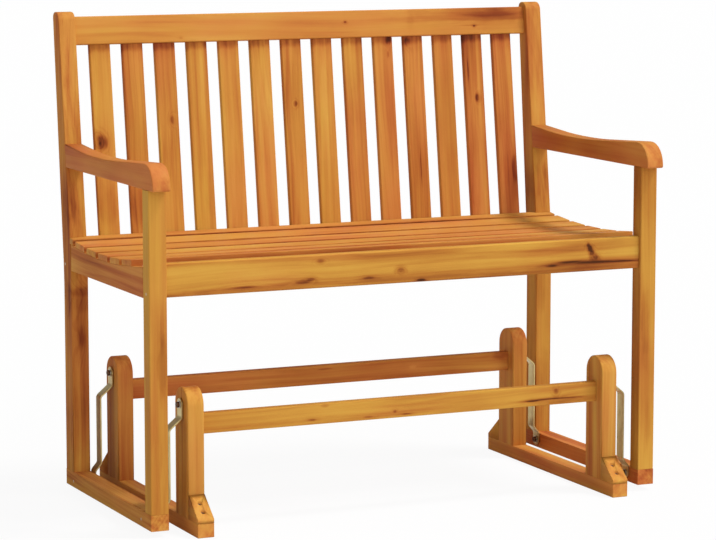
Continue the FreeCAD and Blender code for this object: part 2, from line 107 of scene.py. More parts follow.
class BenchSizes(bpy.types.PropertyGroup):
    """Sizes of the timber that the frame's boxes don't give."""

    edge: length("Edge", "Rounding of the long edges of thick timber", 0.0025)
    rail_edge: length("Rail edge", "Rounding of the edges of foot rails, floor rails and blocks", 0.001)
    slat_edge: length("Slat edge", "Rounding of the edges of the back slats", 0.0025)
    seat_slat_edge: length("Seat slat edge", "Rounding of the edges of the seat slats", 0.0011)
    end_edge: length("End edge", "Fine rounding where a timber ends", 0.0005)
    round_steps: IntProperty(name="Edge steps", description="Faces across a rounded edge", default=3, min=1)
    tenon: length("Tenon", "Length of the tenons of rails and slats", 0.012)
    leg_tenon: length("Leg tenon", "Length of the tenons of legs and uprights", 0.015)

    seat_slat_width: length("Seat slat width", "Width of the five wide seat slats", 0.055)
    seat_slat_thickness: length("Seat slat thickness", "Thickness of the seat slats", 0.012)
    rear_slat_width: length("Rear slat width", "Width of the narrow slat at the rear", 0.029)
    dish_radius: length("Dish radius", "Radius of the hollow of the seat", 1.602)
    dish_middle: number("Dish middle", "Place of the lowest line of the hollow, to the rear", 0.017)

    back_slope: number("Back slope", "Lean of the back, run over rise", 0.134)
    back_slat_width: length("Back slat width", "Width of a back slat", 0.0448)
    back_slat_thickness: length("Back slat thickness", "Thickness of a back slat", 0.012)
    back_slat_length: length("Back slat length", "Length of a back slat between the rails", 0.4116)
    back_rail_thickness: length("Back rail thickness", "Thickness of the two back rails", 0.020)
    top_rail_height: length("Top rail height", "Height of the top back rail", 0.0575)
    lower_rail_height: length("Lower rail height", "Height of the lower back rail", 0.042)

    post_depth: length("Post depth", "Depth of the rear post below its bend", 0.0465)
    post_front_bend: length("Front bend", "Height at which the post's front starts to lean", 0.480)
    post_back_bend: length("Back bend", "Height at which the post's back starts to lean", 0.449)
    post_front_lean: number("Front lean", "Run over rise of the post's front above the bend", 0.125)
    post_back_lean: number("Back lean", "Run over rise of the post's back above the bend", 0.095)
    post_bend_radius: length("Bend radius", "Radius of the bend of the post", 0.8)
    post_top_front: length("Post top front", "Rounding of the post's top at the front", 0.018)
    post_top_back: length("Post top back", "Rounding of the post's top at the back", 0.012)

    arm_front_height: length("Arm front height", "Height of the arm's top at the nose", 0.7212)
    arm_dip_height: length("Arm dip height", "Height of the arm's top in the dip", 0.7022)
    arm_dip_from_leg: length("Arm dip place", "Distance of the dip behind the leg's front", 0.2916)
    arm_back_height: length("Arm back height", "Height of the arm's top at the post", 0.7164)
    arm_back_from_leg: length("Arm back place", "Distance of the arm's end behind the leg's front", 0.500)
    arm_nose_radius: length("Arm nose radius", "Rounding of the arm's nose", 0.046)
    arm_dip_radius: length("Arm dip radius", "Radius of the hollow of the arm's top", 1.5)
    arm_nose_under: length("Arm nose underside", "Rounding under the arm's nose", 0.004)

    block_height: length("Block height", "Height of a foot block at the upright", 0.075)
    block_nose: length("Block nose", "Height of a foot block at its low end", 0.036)
    block_hole: length("Block hole radius", "Radius of the screw holes in the foot blocks", 0.005)
    block_hole_depth: length("Block hole depth", "Depth of the screw holes in the foot blocks", 0.007)

    strap_thickness: length("Strap thickness", "Thickness of the metal straps", 0.003)
    strap_middle: number("Strap middle", "Place of the strap between its two joggles, to the side", 0.498)
    strap_bend: length("Strap bend", "Radius of the strap's bends", 0.010)
    strap_upper_start: length("Upper joggle top", "Height at which the upper joggle starts", 0.222)
    strap_upper_end: length("Upper joggle foot", "Height at which the upper joggle ends", 0.200)
    strap_lower_start: length("Lower joggle top", "Height at which the lower joggle starts", 0.062)
    strap_lower_end: length("Lower joggle foot", "Height at which the lower joggle ends", 0.047)
    strap_neck: length("Strap neck", "Distance from a pivot hole to where the strap runs straight", 0.0095)
    strap_hole: length("Strap hole radius", "Radius of the holes in the straps", 0.00305)
    washer_thickness: length("Washer thickness", "Thickness of a washer", 0.0012)
    washer_radius: length("Washer radius", "Outer radius of a washer", 0.0075)
    screw_head: length("Screw head radius", "Radius of a pivot screw's head", 0.0058)
    screw_head_height: length("Screw head height", "Height of a pivot screw's head", 0.005)
    screw_shank: length("Screw shank radius", "Radius of a pivot screw's shoulder", 0.003)
    screw_socket: length("Socket radius", "Radius of the hexagon socket, corner to corner", 0.0029)
    plug_radius: length("Plug radius", "Radius of a cover plug", 0.003)


class BenchFinish(bpy.types.PropertyGroup):
    """Colours of the oiled wood and the plated metal."""

    straw: colour("Straw", "Palest streaks of the wood", (0.665, 0.355, 0.074))
    honey: colour("Honey", "Main colour of the wood", (0.585, 0.260, 0.050))
    amber: colour("Amber", "Deeper bands of the wood", (0.455, 0.156, 0.031))
    russet: colour("Russet", "Heartwood streaks", (0.255, 0.062, 0.017))
    bark: colour("Bark", "Middle of a knot", (0.085, 0.024, 0.010))
    blush: colour("Blush", "Tint of the redder boards, as a share of the wood's colour", (1.0, 0.76, 1.04))
    zinc: colour("Zinc", "Yellow plating of the straps", (0.62, 0.51, 0.24))
    steel: colour("Steel", "Plain washers", (0.62, 0.60, 0.57))
    dull: colour("Dull screws", "Browned screws of the pivots and foot blocks", (0.17, 0.10, 0.06))
    plug: colour("Plug", "Pale cover plugs", (0.70, 0.56, 0.36))


class BenchStage(bpy.types.PropertyGroup):
    """Floor, lamps and camera."""

    floor_size: length("Floor size", "Side of the square floor", 120.0)
    floor_tone: number("Floor tone", "Paleness of the floor as a surface", 0.80)
    floor_glow: number("Floor glow", "Share of the floor's white that the camera sees without light", 0.92)
    sky: number("Sky", "Strength of the even light from all round", 0.40)
    key: number("Key", "Strength of the high main lamp", 2.15)
    fill: number("Fill", "Strength of the broad lamp in front", 1.38)
    lens: number("Lens", "Focal length of the camera in millimetres", 151.16)
    camera_place: FloatVectorProperty(name="Camera place", description="Where the camera stands", size=3,
                                      default=(-2.50149, -5.54664, 1.28583), subtype="XYZ", unit="LENGTH")
    camera_turn: FloatProperty(name="Camera turn", description="Turn of the camera to the right",
                               default=math.radians(24.265), unit="ROTATION")
    camera_fall: FloatProperty(name="Camera fall", description="Fall of the camera's line of sight",
                               default=math.radians(7.7686), unit="ROTATION")


def sizes():
    return bpy.context.scene.bench_sizes


def finish():
    return bpy.context.scene.bench_finish


# Node trees

class Nodes:
    """Adds nodes to a tree; an input is a number, a vector or another node's output."""

    def __init__(self, tree):
        self.tree = tree

    def add(self, kind, inputs=(), **settings):
        node = self.tree.nodes.new("ShaderNode" + kind)
        for name, value in settings.items():
            setattr(node, name, value)
        return self.fed(node, inputs)

    def group(self, tree, inputs):
        node = self.tree.nodes.new("ShaderNodeGroup")
        node.node_tree = tree
        return self.fed(node, inputs)

    def fed(self, node, inputs):
        for key, value in dict(inputs).items():
            socket = node.inputs[key]
            if isinstance(value, bpy.types.NodeSocket):
                self.tree.links.new(value, socket)
            else:
                socket.default_value = value
        return node

    def math(self, operation, *values):
        return self.add("Math", dict(enumerate(values)), operation=operation).outputs[0]

    def plus(self, base, value, weight, centre=0.5):
        """Base and a value's distance from its centre, times a weight."""
        away = self.math("SUBTRACT", value, centre)
        return self.math("MULTIPLY_ADD", away, weight, base)

    def vector(self, operation, *values):
        found = self.add("VectorMath", dict(enumerate(values)), operation=operation)
        return found.outputs["Value" if operation in ("LENGTH", "DOT_PRODUCT") else "Vector"]

    def ramp(self, value, low, high, start=0.0, end=1.0):
        inputs = {"Value": value, "From Min": low, "From Max": high, "To Min": start, "To Max": end}
        return self.add("MapRange", inputs, interpolation_type="SMOOTHSTEP").outputs["Result"]

    def noise(self, place, stretch, seed, detail=2.0, roughness=0.5):
        spot = self.vector("MULTIPLY", place, stretch)
        inputs = {"Vector": spot, "W": seed, "Scale": 1.0, "Detail": detail, "Roughness": roughness}
        return self.add("TexNoise", inputs, noise_dimensions="4D")

    def mix(self, share, first, second):
        return self.add("Mix", {0: share, 6: first, 7: second}, data_type="RGBA").outputs[2]


def new_group(name, inputs, outputs):
    """A shader node group with float or vector inputs and float or colour outputs."""
    tree = bpy.data.node_groups.new(name, "ShaderNodeTree")
    for label, kind in inputs:
        tree.interface.new_socket(name=label, in_out="INPUT", socket_type="NodeSocket" + kind)
    for label, kind in outputs:
        tree.interface.new_socket(name=label, in_out="OUTPUT", socket_type="NodeSocket" + kind)
    return tree, Nodes(tree), tree.nodes.new("NodeGroupInput").outputs


def close_group(tree, results):
    """Hand a group's results out."""
    out = tree.nodes.new("NodeGroupOutput")
    for label, socket in results.items():
        tree.links.new(socket, out.inputs[label])
    return tree


def rgba(three):
    return (*three, 1.0)


def grain_and_painted_light_group():
    """A knot, a streak, or a patch of painted shade or painted highlight: how dark it is, and how far it
    pushes the growth rings aside.
    """
    if "Grain mark and painted light" in bpy.data.node_groups:
        return bpy.data.node_groups["Grain mark and painted light"]
    tree, nodes, given = new_group(
        "Grain mark and painted light",
        [("Place", "Vector"), ("Centre", "Vector"), ("Reach", "Vector"), ("Depth", "Float"),
         ("Push", "Float")],
        [("Dark", "Float"), ("Swirl", "Float")],
    )
    ragged = nodes.noise(given["Place"], (90.0, 90.0, 30.0), 3.0, 2.0)
    ragged = nodes.vector("SUBTRACT", ragged.outputs["Color"], (0.5, 0.5, 0.5))
    away = nodes.vector("SUBTRACT", given["Place"], given["Centre"])
    away = nodes.vector("DIVIDE", away, given["Reach"])
    away = nodes.vector("ADD", away, nodes.vector("MULTIPLY", ragged, (0.9, 0.9, 0.9)))
    distance = nodes.vector("LENGTH", away)
    core = nodes.ramp(distance, 1.15, 0.35)
    halo = nodes.ramp(distance, 2.6, 0.0)
    dark = nodes.math("MULTIPLY_ADD", halo, 0.38, nodes.math("MULTIPLY", core, 0.62))
    dark = nodes.math("MULTIPLY", dark, given["Depth"])
    swirl = nodes.math("MULTIPLY", halo, given["Push"])
    return close_group(tree, {"Dark": dark, "Swirl": swirl})


def acacia_group():
    """Oiled hardwood cut from one log. Place is measured from the heart, with Z along the grain."""
    if "Oiled acacia" in bpy.data.node_groups:
        return bpy.data.node_groups["Oiled acacia"]
    colours = finish()
    tree, nodes, given = new_group(
        "Oiled acacia",
        [("Place", "Vector"), ("Seed", "Float"), ("Tone", "Float"), ("Warmth", "Float"),
         ("Figure", "Float"), ("Dark", "Float"), ("Swirl", "Float")],
        [("Color", "Color"), ("Roughness", "Float"), ("Normal", "Vector")],
    )
    place = given["Place"]
    seed = given["Seed"]

    # Each noise is given how often it comes in a metre, across the grain twice and then along it
    wander = nodes.noise(place, (6.0, 6.0, 1.6), seed, 2.0).outputs["Color"]
    wander = nodes.vector("MULTIPLY_ADD", wander, (0.034, 0.034, 0.0), (-0.017, -0.017, 0.0))
    bent = nodes.vector("ADD", place, wander)

    # Growth rings, counted from the heart and pushed aside by knots, with their late wood
    across = nodes.vector("LENGTH", nodes.vector("MULTIPLY", bent, (1.0, 1.0, 0.0)))
    year = nodes.math("MULTIPLY_ADD", across, 150.0, nodes.math("MULTIPLY", given["Swirl"], 2.2))
    spread = nodes.math("MULTIPLY_ADD", year, 0.30, seed)
    band = nodes.add("TexNoise", {"W": spread, "Scale": 1.0, "Detail": 3.0, "Roughness": 0.62},
                     noise_dimensions="1D").outputs["Fac"]
    saw = nodes.math("FRACT", year)
    late = nodes.math("MULTIPLY", nodes.ramp(saw, 0.40, 0.86), nodes.ramp(saw, 1.0, 0.90))

    streak = nodes.noise(bent, (62.0, 62.0, 1.5), seed, 2.0).outputs["Fac"]
    thread = nodes.noise(bent, (190.0, 190.0, 3.2), seed, 2.0, 0.55).outputs["Fac"]
    fibre = nodes.noise(bent, (640.0, 640.0, 9.0), seed, 3.0, 0.6).outputs["Fac"]
    pore = nodes.noise(place, (1900.0, 1900.0, 60.0), seed, 1.0).outputs["Fac"]
    pore = nodes.ramp(pore, 0.60, 0.70)
    cloud = nodes.noise(place, (12.0, 12.0, 3.6), seed, 2.0).outputs["Color"]
    cloud = nodes.add("SeparateColor", {0: cloud})

    # Each feature's share in the figure, and the middle of its values
    detail = 0.0
    for feature, weight, centre in ((band, 0.42, 0.5), (late, 0.05, 0.25), (streak, 0.74, 0.5),
                                    (thread, 0.24, 0.5), (fibre, 0.17, 0.5), (pore, 0.05, 0.15)):
        detail = nodes.plus(detail, feature, weight, centre)
    shade = nodes.math("MULTIPLY_ADD", detail, given["Figure"], given["Tone"])
    shade = nodes.plus(shade, cloud.outputs[0], 0.80)
    shade = nodes.math("MULTIPLY_ADD", given["Dark"], 0.62, shade)

    ramp = nodes.add("ValToRGB", {"Fac": shade})
    stops = ramp.color_ramp.elements
    stops[0].position = 0.0
    stops[0].color = rgba(colours.straw)
    stops[1].position = 1.0
    stops[1].color = rgba(colours.bark)
    for position, value in ((0.30, colours.honey), (0.55, colours.amber), (0.80, colours.russet)):
        stops.new(position).color = rgba(value)

    warm = nodes.plus(given["Warmth"], cloud.outputs[1], 2.6)
    warm = nodes.plus(warm, streak, 1.2)
    warm = nodes.add("Clamp", {"Value": warm, "Min": -0.5, "Max": 1.0}).outputs[0]
    blush = tuple(part - 1.0 for part in colours.blush)
    tint = nodes.vector("MULTIPLY_ADD", blush, warm, (1.0, 1.0, 1.0))
    colour_now = nodes.vector("MULTIPLY", ramp.outputs["Color"], tint)

    rough = nodes.math("MULTIPLY_ADD", fibre, 0.14, 0.42)
    rough = nodes.math("MULTIPLY_ADD", given["Dark"], 0.10, rough)
    height = nodes.math("MULTIPLY_ADD", fibre, 0.5, nodes.math("MULTIPLY", pore, -0.8))
    height = nodes.math("MULTIPLY_ADD", late, 0.35, height)
    bump = nodes.add("Bump", {"Strength": 0.30, "Distance": 0.0003, "Height": height})
    return close_group(tree, {"Color": colour_now, "Roughness": rough, "Normal": bump.outputs[0]})


# Tone, warmth and strength of figure of each board; tone 0 is straw, 0.3 honey, 0.55 amber, 0.8 russet
LOOKS = {
    "front_leg_left": (0.31, -0.65, 0.6),
    "front_leg_right": (0.47, -0.5, 0.6),
    "rear_post_left": (0.38, 0.15, 1.1),
    "rear_post_right": (0.36, 0.2, 0.8),
    "armrest_left": (0.41, 0.7, 0.6),
    "armrest_right": (0.36, 0.6, 0.6),
    "side_seat_rail": (0.42, 0.5, 1.1),
    "middle_seat_rail": (0.4, 0.4, 1.0),
    "front_apron": (0.41, -0.45, 0.95),
    "lower_back_rail": (0.36, 0.5, 1.0),
    "top_back_rail": (0.29, 0.15, 0.55),
    "foot_rail_left": (0.27, 0.4, 1.6),
    "foot_rail_right": (0.36, 0.8, 1.2),
    "floor_rail": (0.33, 0.4, 0.9),
    "upright_front_left": (0.29, 0.15, 1.1),
    "upright_front_right": (0.31, 0.0, 1.0),
    "upright_rear": (0.38, 0.55, 1.0),
    "foot_block_front": (0.25, -0.15, 0.7),
    "foot_block_rear": (0.32, 0.35, 0.7),
    "stretcher_front": (0.35, -0.4, 0.9),
    "stretcher_rear": (0.42, 0.6, 0.9),
    "seat_slat_1": (0.29, 0.25, 0.7),
    "seat_slat_2": (0.23, 0.35, 0.8),
    "seat_slat_3": (0.3, 0.4, 0.8),
    "seat_slat_4": (0.25, 0.4, 0.8),
    "seat_slat_5": (0.26, 0.4, 0.8),
    "seat_slat_6": (0.33, 0.5, 1.0),
    "back_slat_01": (0.31, 0.05, 1.0),
    "back_slat_02": (0.32, 0.3, 1.0),
    "back_slat_03": (0.32, 0.05, 1.0),
    "back_slat_04": (0.29, -0.05, 1.1),
    "back_slat_05": (0.32, 0.15, 0.9),
    "back_slat_06": (0.29, 0.2, 1.1),
    "back_slat_07": (0.31, 0.0, 1.1),
    "back_slat_08": (0.3, 0.15, 1.1),
    "back_slat_09": (0.35, 0.3, 0.8),
    "back_slat_10": (0.35, 0.4, 1.0),
    "back_slat_11": (0.39, 0.6, 1.0),
    "back_slat_12": (0.33, 0.45, 0.8),
    "back_slat_13": (0.43, 0.55, 1.1),
    "back_slat_14": (0.52, 0.75, 1.1),
}


# Turns from a board's own axes to the world: Z along the grain, X across the face, Y through it
GRAIN = {
    "X": Matrix(((0, 0, 1), (0, -1, 0), (1, 0, 0))),
    "Y": Matrix(((0, 1, 0), (0, 0, 1), (1, 0, 0))),
    "Z": Matrix.Identity(3),
}


class Mark:
    """A knot, a streak, or a patch of painted shade or painted highlight on a board, at a real place, with
    its half sizes across, along and through it.
    """

    def __init__(self, place, across, along, depth=1.0, push=1.0, through=0.05):
        self.place = Vector(place)
        self.reach = (across, through, along)
        self.depth = depth
        self.push = push


# Knots, streaks and clouds of tone that stand out, with painted shade on faces that turn from the key lamp
# and a painted highlight on the apron's top edge; a mark of no push leaves the rings as they are
MARKS = {
    "back_slat_01": (
        Mark((-0.4657, 0.2404, 0.7134), 0.014, 0.016, 0.8, 1.2),
        Mark((-0.47, 0.241, 0.712), 0.004, 0.005, 0.25),
        Mark((-0.4735, 0.2415, 0.724), 0.005, 0.008, 0.4),
        Mark((-0.4589, 0.23, 0.59), 0.03, 0.05, 0.3, 0.0),
    ),
    "back_slat_02": (Mark((-0.3883, 0.229, 0.59), 0.03, 0.06, 0.36, 0.0),),
    "back_slat_03": (Mark((-0.3108, 0.2459, 0.7546), 0.006, 0.01, 0.6),),
    "back_slat_04": (Mark((-0.24, 0.25, 0.79), 0.006, 0.15, -0.3, 0.0),),
    "back_slat_07": (Mark((-0.0316, 0.2491, 0.7781), 0.004, 0.006, 0.55),),
    "back_slat_08": (Mark((0.034, 0.25, 0.784), 0.006, 0.17, -0.26, 0.0),),
    "back_slat_09": (Mark((0.1115, 0.26, 0.86), 0.03, 0.08, 0.2, 0.0),),
    "back_slat_10": (
        Mark((0.19, 0.2662, 0.906), 0.008, 0.012, 0.62),
        Mark((0.1871, 0.2623, 0.8765), 0.0025, 0.008, 0.45, 0.3),
    ),
    "back_slat_11": (
        Mark((0.2332, 0.2655, 0.9007), 0.008, 0.012, 0.58),
        Mark((0.2505, 0.2305, 0.6395), 0.0016, 0.045, 0.5, 0.2),
    ),
    "back_slat_13": (
        Mark((0.3925, 0.249, 0.7771), 0.006, 0.01, 0.7),
        Mark((0.3745, 0.257, 0.8374), 0.0022, 0.03, 0.45, 0.2),
    ),
    "back_slat_14": (
        Mark((0.4728, 0.2284, 0.624), 0.006, 0.035, 0.62, 0.3),
        Mark((0.464, 0.229, 0.6), 0.03, 0.07, 0.2, 0.0),
    ),
    "top_back_rail": (
        Mark((0.0894, 0.2676, 0.9463), 0.0028, 0.004, 0.8),
        Mark((0.3927, 0.2656, 0.9312), 0.0028, 0.004, 0.8),
        Mark((0.39, 0.2656, 0.956), 0.022, 0.2, 0.28, 0.0),
        Mark((0.46, 0.2656, 0.94), 0.05, 0.06, 0.16, 0.0),
        Mark((0.385, 0.2656, 0.933), 0.0015, 0.03, 0.35, 0.2),
        Mark((0.4328, 0.2689, 0.956), 0.011, 0.06, 0.14, 0.4),
        Mark((0.2412, 0.2678, 0.9473), 0.025, 0.01, 0.14, 0.0),
        Mark((-0.2825, 0.2643, 0.9217), 0.003, 0.005, 0.3, 0.0),
    ),
    "front_apron": (
        Mark((0.396, -0.2493, 0.516), 0.006, 0.005, 0.55),
        Mark((0.401, -0.2493, 0.508), 0.007, 0.0055, 0.52),
        Mark((0.406, -0.2493, 0.499), 0.008, 0.006, 0.6),
        Mark((0.414, -0.2493, 0.491), 0.006, 0.008, 0.5),
        Mark((0.315, -0.2493, 0.4775), 0.0028, 0.018, 0.55, 0.3),
        Mark((0.352, -0.2493, 0.4835), 0.003, 0.03, 0.5, 0.3),
        Mark((0.412, -0.2493, 0.48), 0.0026, 0.05, 0.55, 0.3),
        Mark((0.485, -0.2493, 0.4785), 0.0024, 0.04, 0.45, 0.3),
        Mark((0.35, -0.2493, 0.47), 0.008, 0.15, 0.1, 0.0),
        Mark((-0.0209, -0.2493, 0.4879), 0.006, 0.008, 0.55),
        Mark((0.0226, -0.2493, 0.4656), 0.003, 0.011, 0.95, 0.3),
        Mark((-0.2324, -0.2493, 0.4763), 0.0045, 0.018, 0.6, 0.4),
        Mark((-0.215, -0.2493, 0.48), 0.004, 0.01, 0.55, 0.4),
        Mark((-0.0921, -0.2493, 0.4761), 0.0035, 0.015, 0.5, 0.4),
        Mark((-0.3535, -0.2493, 0.4736), 0.0035, 0.03, 0.5, 0.4),
        Mark((-0.1922, -0.2493, 0.5151), 0.0045, 0.009, 0.38),
        Mark((-0.34, -0.2493, 0.468), 0.009, 0.16, 0.22, 0.0),
        Mark((0.0, -0.2493, 0.465), 0.011, 0.6, 0.2, 0.0),
        # A pale line along the top edge: painted highlight on its rounding
        Mark((0.0, -0.248, 0.5276), 0.003, 0.9, -0.34, 0.0, 0.006),
    ),
    "front_leg_left": (
        Mark((-0.524, -0.2563, 0.4), 0.006, 0.06, 0.22, 0.2),
        Mark((-0.524, -0.2563, 0.33), 0.012, 0.08, 0.38, 0.3),
    ),
    "front_leg_right": (
        Mark((0.526, -0.2563, 0.34), 0.012, 0.09, 0.38, 0.3),
        Mark((0.535, -0.2563, 0.14), 0.008, 0.06, 0.22, 0.3),
        # A thin mark on the inner face: painted shade on the side that turns away from the key lamp
        Mark((0.5135, -0.23, 0.35), 0.0012, 0.6, 0.2, 0.0),
    ),
    "foot_rail_left": (Mark((-0.53, -0.2563, 0.03), 0.03, 0.03, 0.3, 0.0),),
    "foot_rail_right": (Mark((0.53, -0.2563, 0.03), 0.03, 0.03, 0.3, 0.0),),
    "armrest_left": (Mark((-0.52, -0.285, 0.69), 0.0045, 0.006, 0.55, 0.3),),
    "stretcher_front": (
        Mark((0.0, -0.2193, 0.195), 0.008, 0.6, 0.2, 0.0),
        Mark((0.33, -0.2193, 0.198), 0.008, 0.09, 0.34, 0.2),
        Mark((0.3417, -0.2193, 0.215), 0.007, 0.006, 0.55),
        Mark((0.29, -0.2193, 0.1985), 0.0018, 0.02, 0.7, 0.3),
        Mark((0.35, -0.2193, 0.2), 0.0016, 0.05, 0.6, 0.3),
        Mark((-0.0194, -0.2193, 0.2015), 0.0035, 0.004, 0.55),
        Mark((0.0047, -0.2193, 0.1937), 0.0018, 0.012, 0.6, 0.3),
        Mark((-0.199, -0.2193, 0.1972), 0.0025, 0.01, 0.5, 0.3),
        Mark((-0.1711, -0.2193, 0.223), 0.0025, 0.007, 0.28),
        Mark((-0.0783, -0.2193, 0.194), 0.002, 0.012, 0.4, 0.3),
    ),
    "stretcher_rear": (
        Mark((0.0022, 0.1767, 0.2232), 0.0022, 0.02, 0.5, 0.3),
        Mark((0.4153, 0.1767, 0.225), 0.01, 0.02, 0.45, 0.3),
        Mark((0.2073, 0.1767, 0.2132), 0.005, 0.01, -0.3, 0.0),
    ),
    "rear_post_right": (
        Mark((0.532, 0.2, 0.13), 0.05, 0.1, 0.34, 0.0),
        Mark((0.525, 0.2, 0.35), 0.012, 0.06, 0.22, 0.3),
        Mark((0.532, 0.22, 0.59), 0.05, 0.05, 0.34, 0.0),
        Mark((0.54, 0.215, 0.62), 0.006, 0.03, 0.3, 0.4),
        # A thin mark on the inner face: painted shade on the side that turns away from the key lamp
        Mark((0.5135, 0.24, 0.75), 0.0012, 0.6, 0.16, 0.0, 0.2),
    ),
    "rear_post_left": (
        Mark((-0.532, 0.2, 0.15), 0.05, 0.08, 0.22, 0.0),
        Mark((-0.532, 0.215, 0.6), 0.05, 0.06, 0.2, 0.0),
        Mark((-0.5274, 0.1975, 0.4156), 0.026, 0.013, 0.42),
        Mark((-0.5278, 0.1975, 0.3889), 0.022, 0.018, 0.3),
        Mark((-0.54, 0.1975, 0.59), 0.008, 0.04, 0.42),
        # A thin mark on the outer face: painted shade on the side that turns away from the key lamp
        Mark((-0.55, 0.24, 0.55), 0.0012, 0.6, 0.22, 0.0, 0.2),
        Mark((-0.53, 0.1975, 0.32), 0.01, 0.03, 0.35),
    ),
}


def looks_of(name):
    """Tone, warmth and figure of a board: its own, or those shared by its left and right twins."""
    return LOOKS.get(name) or LOOKS[name.rsplit("_", 1)[0]]


def new_material(name):
    """A new material, its nodes and its shader."""
    material = bpy.data.materials.new(name)
    material.use_nodes = True
    tree = material.node_tree
    return material, Nodes(tree), tree.nodes["Principled BSDF"]


def wood(name, grain, turn=None, marks=()):
    """Material of one board, cut at its own place from the log, with marks besides those of the table."""
    draw = random.Random(name)

    # Where the log's heart lies from the board, and how far the board runs out of line with it
    heart = Vector((draw.uniform(0.03, 0.10) * draw.choice((-1, 1)), draw.uniform(0.06, 0.14), 0.0))
    seed = draw.uniform(0.0, 90.0)
    skew = Euler((draw.uniform(-0.02, 0.02), draw.uniform(-0.02, 0.02), 0.0))

    tone, warmth, figure = looks_of(name)
    centre = middle(name)
    axes = GRAIN[grain].copy()
    if turn is not None:
        axes = turn @ axes

    material, nodes, shader = new_material(name + " wood")
    here = nodes.add("TexCoord").outputs["Object"]
    inputs = {"Vector": here, "Location": centre, "Rotation": axes.to_euler()}
    local = nodes.add("Mapping", inputs, vector_type="TEXTURE").outputs["Vector"]
    inputs = {"Vector": local, "Location": heart, "Rotation": skew}
    from_heart = nodes.add("Mapping", inputs, vector_type="POINT").outputs["Vector"]

    dark = 0.0
    swirl = 0.0
    # Each mark is a knot or streak, or a patch of painted shade or painted highlight
    for mark in MARKS.get(name, ()) + tuple(marks):
        inputs = {"Place": local, "Centre": axes.transposed() @ (mark.place - centre),
                  "Reach": mark.reach, "Depth": mark.depth, "Push": mark.push}
        knot = nodes.group(grain_and_painted_light_group(), inputs).outputs
        dark = nodes.math("ADD", knot["Dark"], dark)
        swirl = nodes.math("ADD", knot["Swirl"], swirl)

    inputs = {"Place": from_heart, "Seed": seed, "Tone": tone, "Warmth": warmth, "Figure": figure,
              "Dark": dark, "Swirl": swirl}
    board = nodes.group(acacia_group(), inputs).outputs
    nodes.fed(shader, {"Base Color": board["Color"], "Roughness": board["Roughness"],
                       "Normal": board["Normal"], "Specular IOR Level": 0.02})
    return material


def metal(name, tone, roughness, brushed, cloudiness):
    """Plated or bare metal with cloudy tone and fine rolling marks down its length."""
    if name in bpy.data.materials:
        return bpy.data.materials[name]
    material, nodes, shader = new_material(name)
    here = nodes.add("TexCoord").outputs["Object"]
    marks = nodes.noise(here, (900.0, 900.0, 900.0 / brushed), 1.0, 3.0, 0.6).outputs["Fac"]
    clouds = nodes.noise(here, (70.0, 70.0, 45.0), 2.0, 3.0).outputs["Fac"]
    share = nodes.math("MULTIPLY", nodes.ramp(clouds, 0.35, 0.68), cloudiness)
    share = nodes.plus(share, marks, 0.30)
    deep = tuple(part * scale for part, scale in zip(tone, (0.72, 0.64, 0.52)))
    base = nodes.mix(share, rgba(tone), rgba(deep))
    rough = nodes.math("MULTIPLY_ADD", marks, 0.22, roughness - 0.10)
    bump = nodes.add("Bump", {"Strength": 0.25, "Distance": 0.0001, "Height": marks}).outputs[0]
    nodes.fed(shader, {"Base Color": base, "Roughness": rough, "Normal": bump, "Metallic": 1.0})
    return material


def zinc():
    return metal("Yellow zinc plating", finish().zinc, 0.36, 14.0, 0.55)


def steel():
    return metal("Plain steel", finish().steel, 0.34, 1.0, 0.35)


def dull_steel():
    return metal("Dull steel", finish().dull, 0.45, 1.0, 0.35)


def plug_wood():
    """Sawn end grain of a pale dowel."""
    material, nodes, shader = new_material("Pale plug")
    here = nodes.add("TexCoord").outputs["Object"]
    speck = nodes.noise(here, (40.0, 1800.0, 1800.0), 4.0, 3.0, 0.6).outputs["Fac"]
    tone = finish().plug
    deep = tuple(part * 0.6 for part in tone)
    base = nodes.mix(nodes.ramp(speck, 0.35, 0.7), rgba(tone), rgba(deep))
    rough = nodes.math("MULTIPLY_ADD", speck, 0.2, 0.45)
    nodes.fed(shader, {"Base Color": base, "Roughness": rough})
    return material


# Shapes

def only(parts, kind):
    """The vertices, or the edges, among what a mesh operator made."""
    return [part for part in parts if isinstance(part, kind)]


def soften(bm, edges, radius, steps=None):
    """Round some edges to a radius."""
    if radius > 0:
        bmesh.ops.bevel(bm, geom=edges, offset=radius, offset_type="OFFSET", affect="EDGES",
                        segments=steps or sizes().round_steps, profile=0.5, material=-1)


def is_along(edge, axis):
    way = (edge.verts[0].co - edge.verts[1].co).normalized()
    return abs(way.dot(axis)) > 0.999


def at_height(edge, z):
    return all(abs(vert.co.z - z) < HAIR for vert in edge.verts)


def straight_board(size, grain, long_edge, end_edge):
    """Board about the origin with rounded long edges and finely rounded ends."""
    bm = bmesh.new()
    bmesh.ops.create_cube(bm, size=1.0)
    bmesh.ops.scale(bm, vec=size, verts=bm.verts)
    axis = AXES[grain]
    reach = Vector(size).dot(axis)
    soften(bm, [edge for edge in bm.edges if is_along(edge, axis)], long_edge)
    ends = [e for e in bm.edges if abs(abs(sum(v.co.dot(axis) for v in e.verts)) - reach) < HAIR]
    soften(bm, ends, end_edge, 1)
    return bm


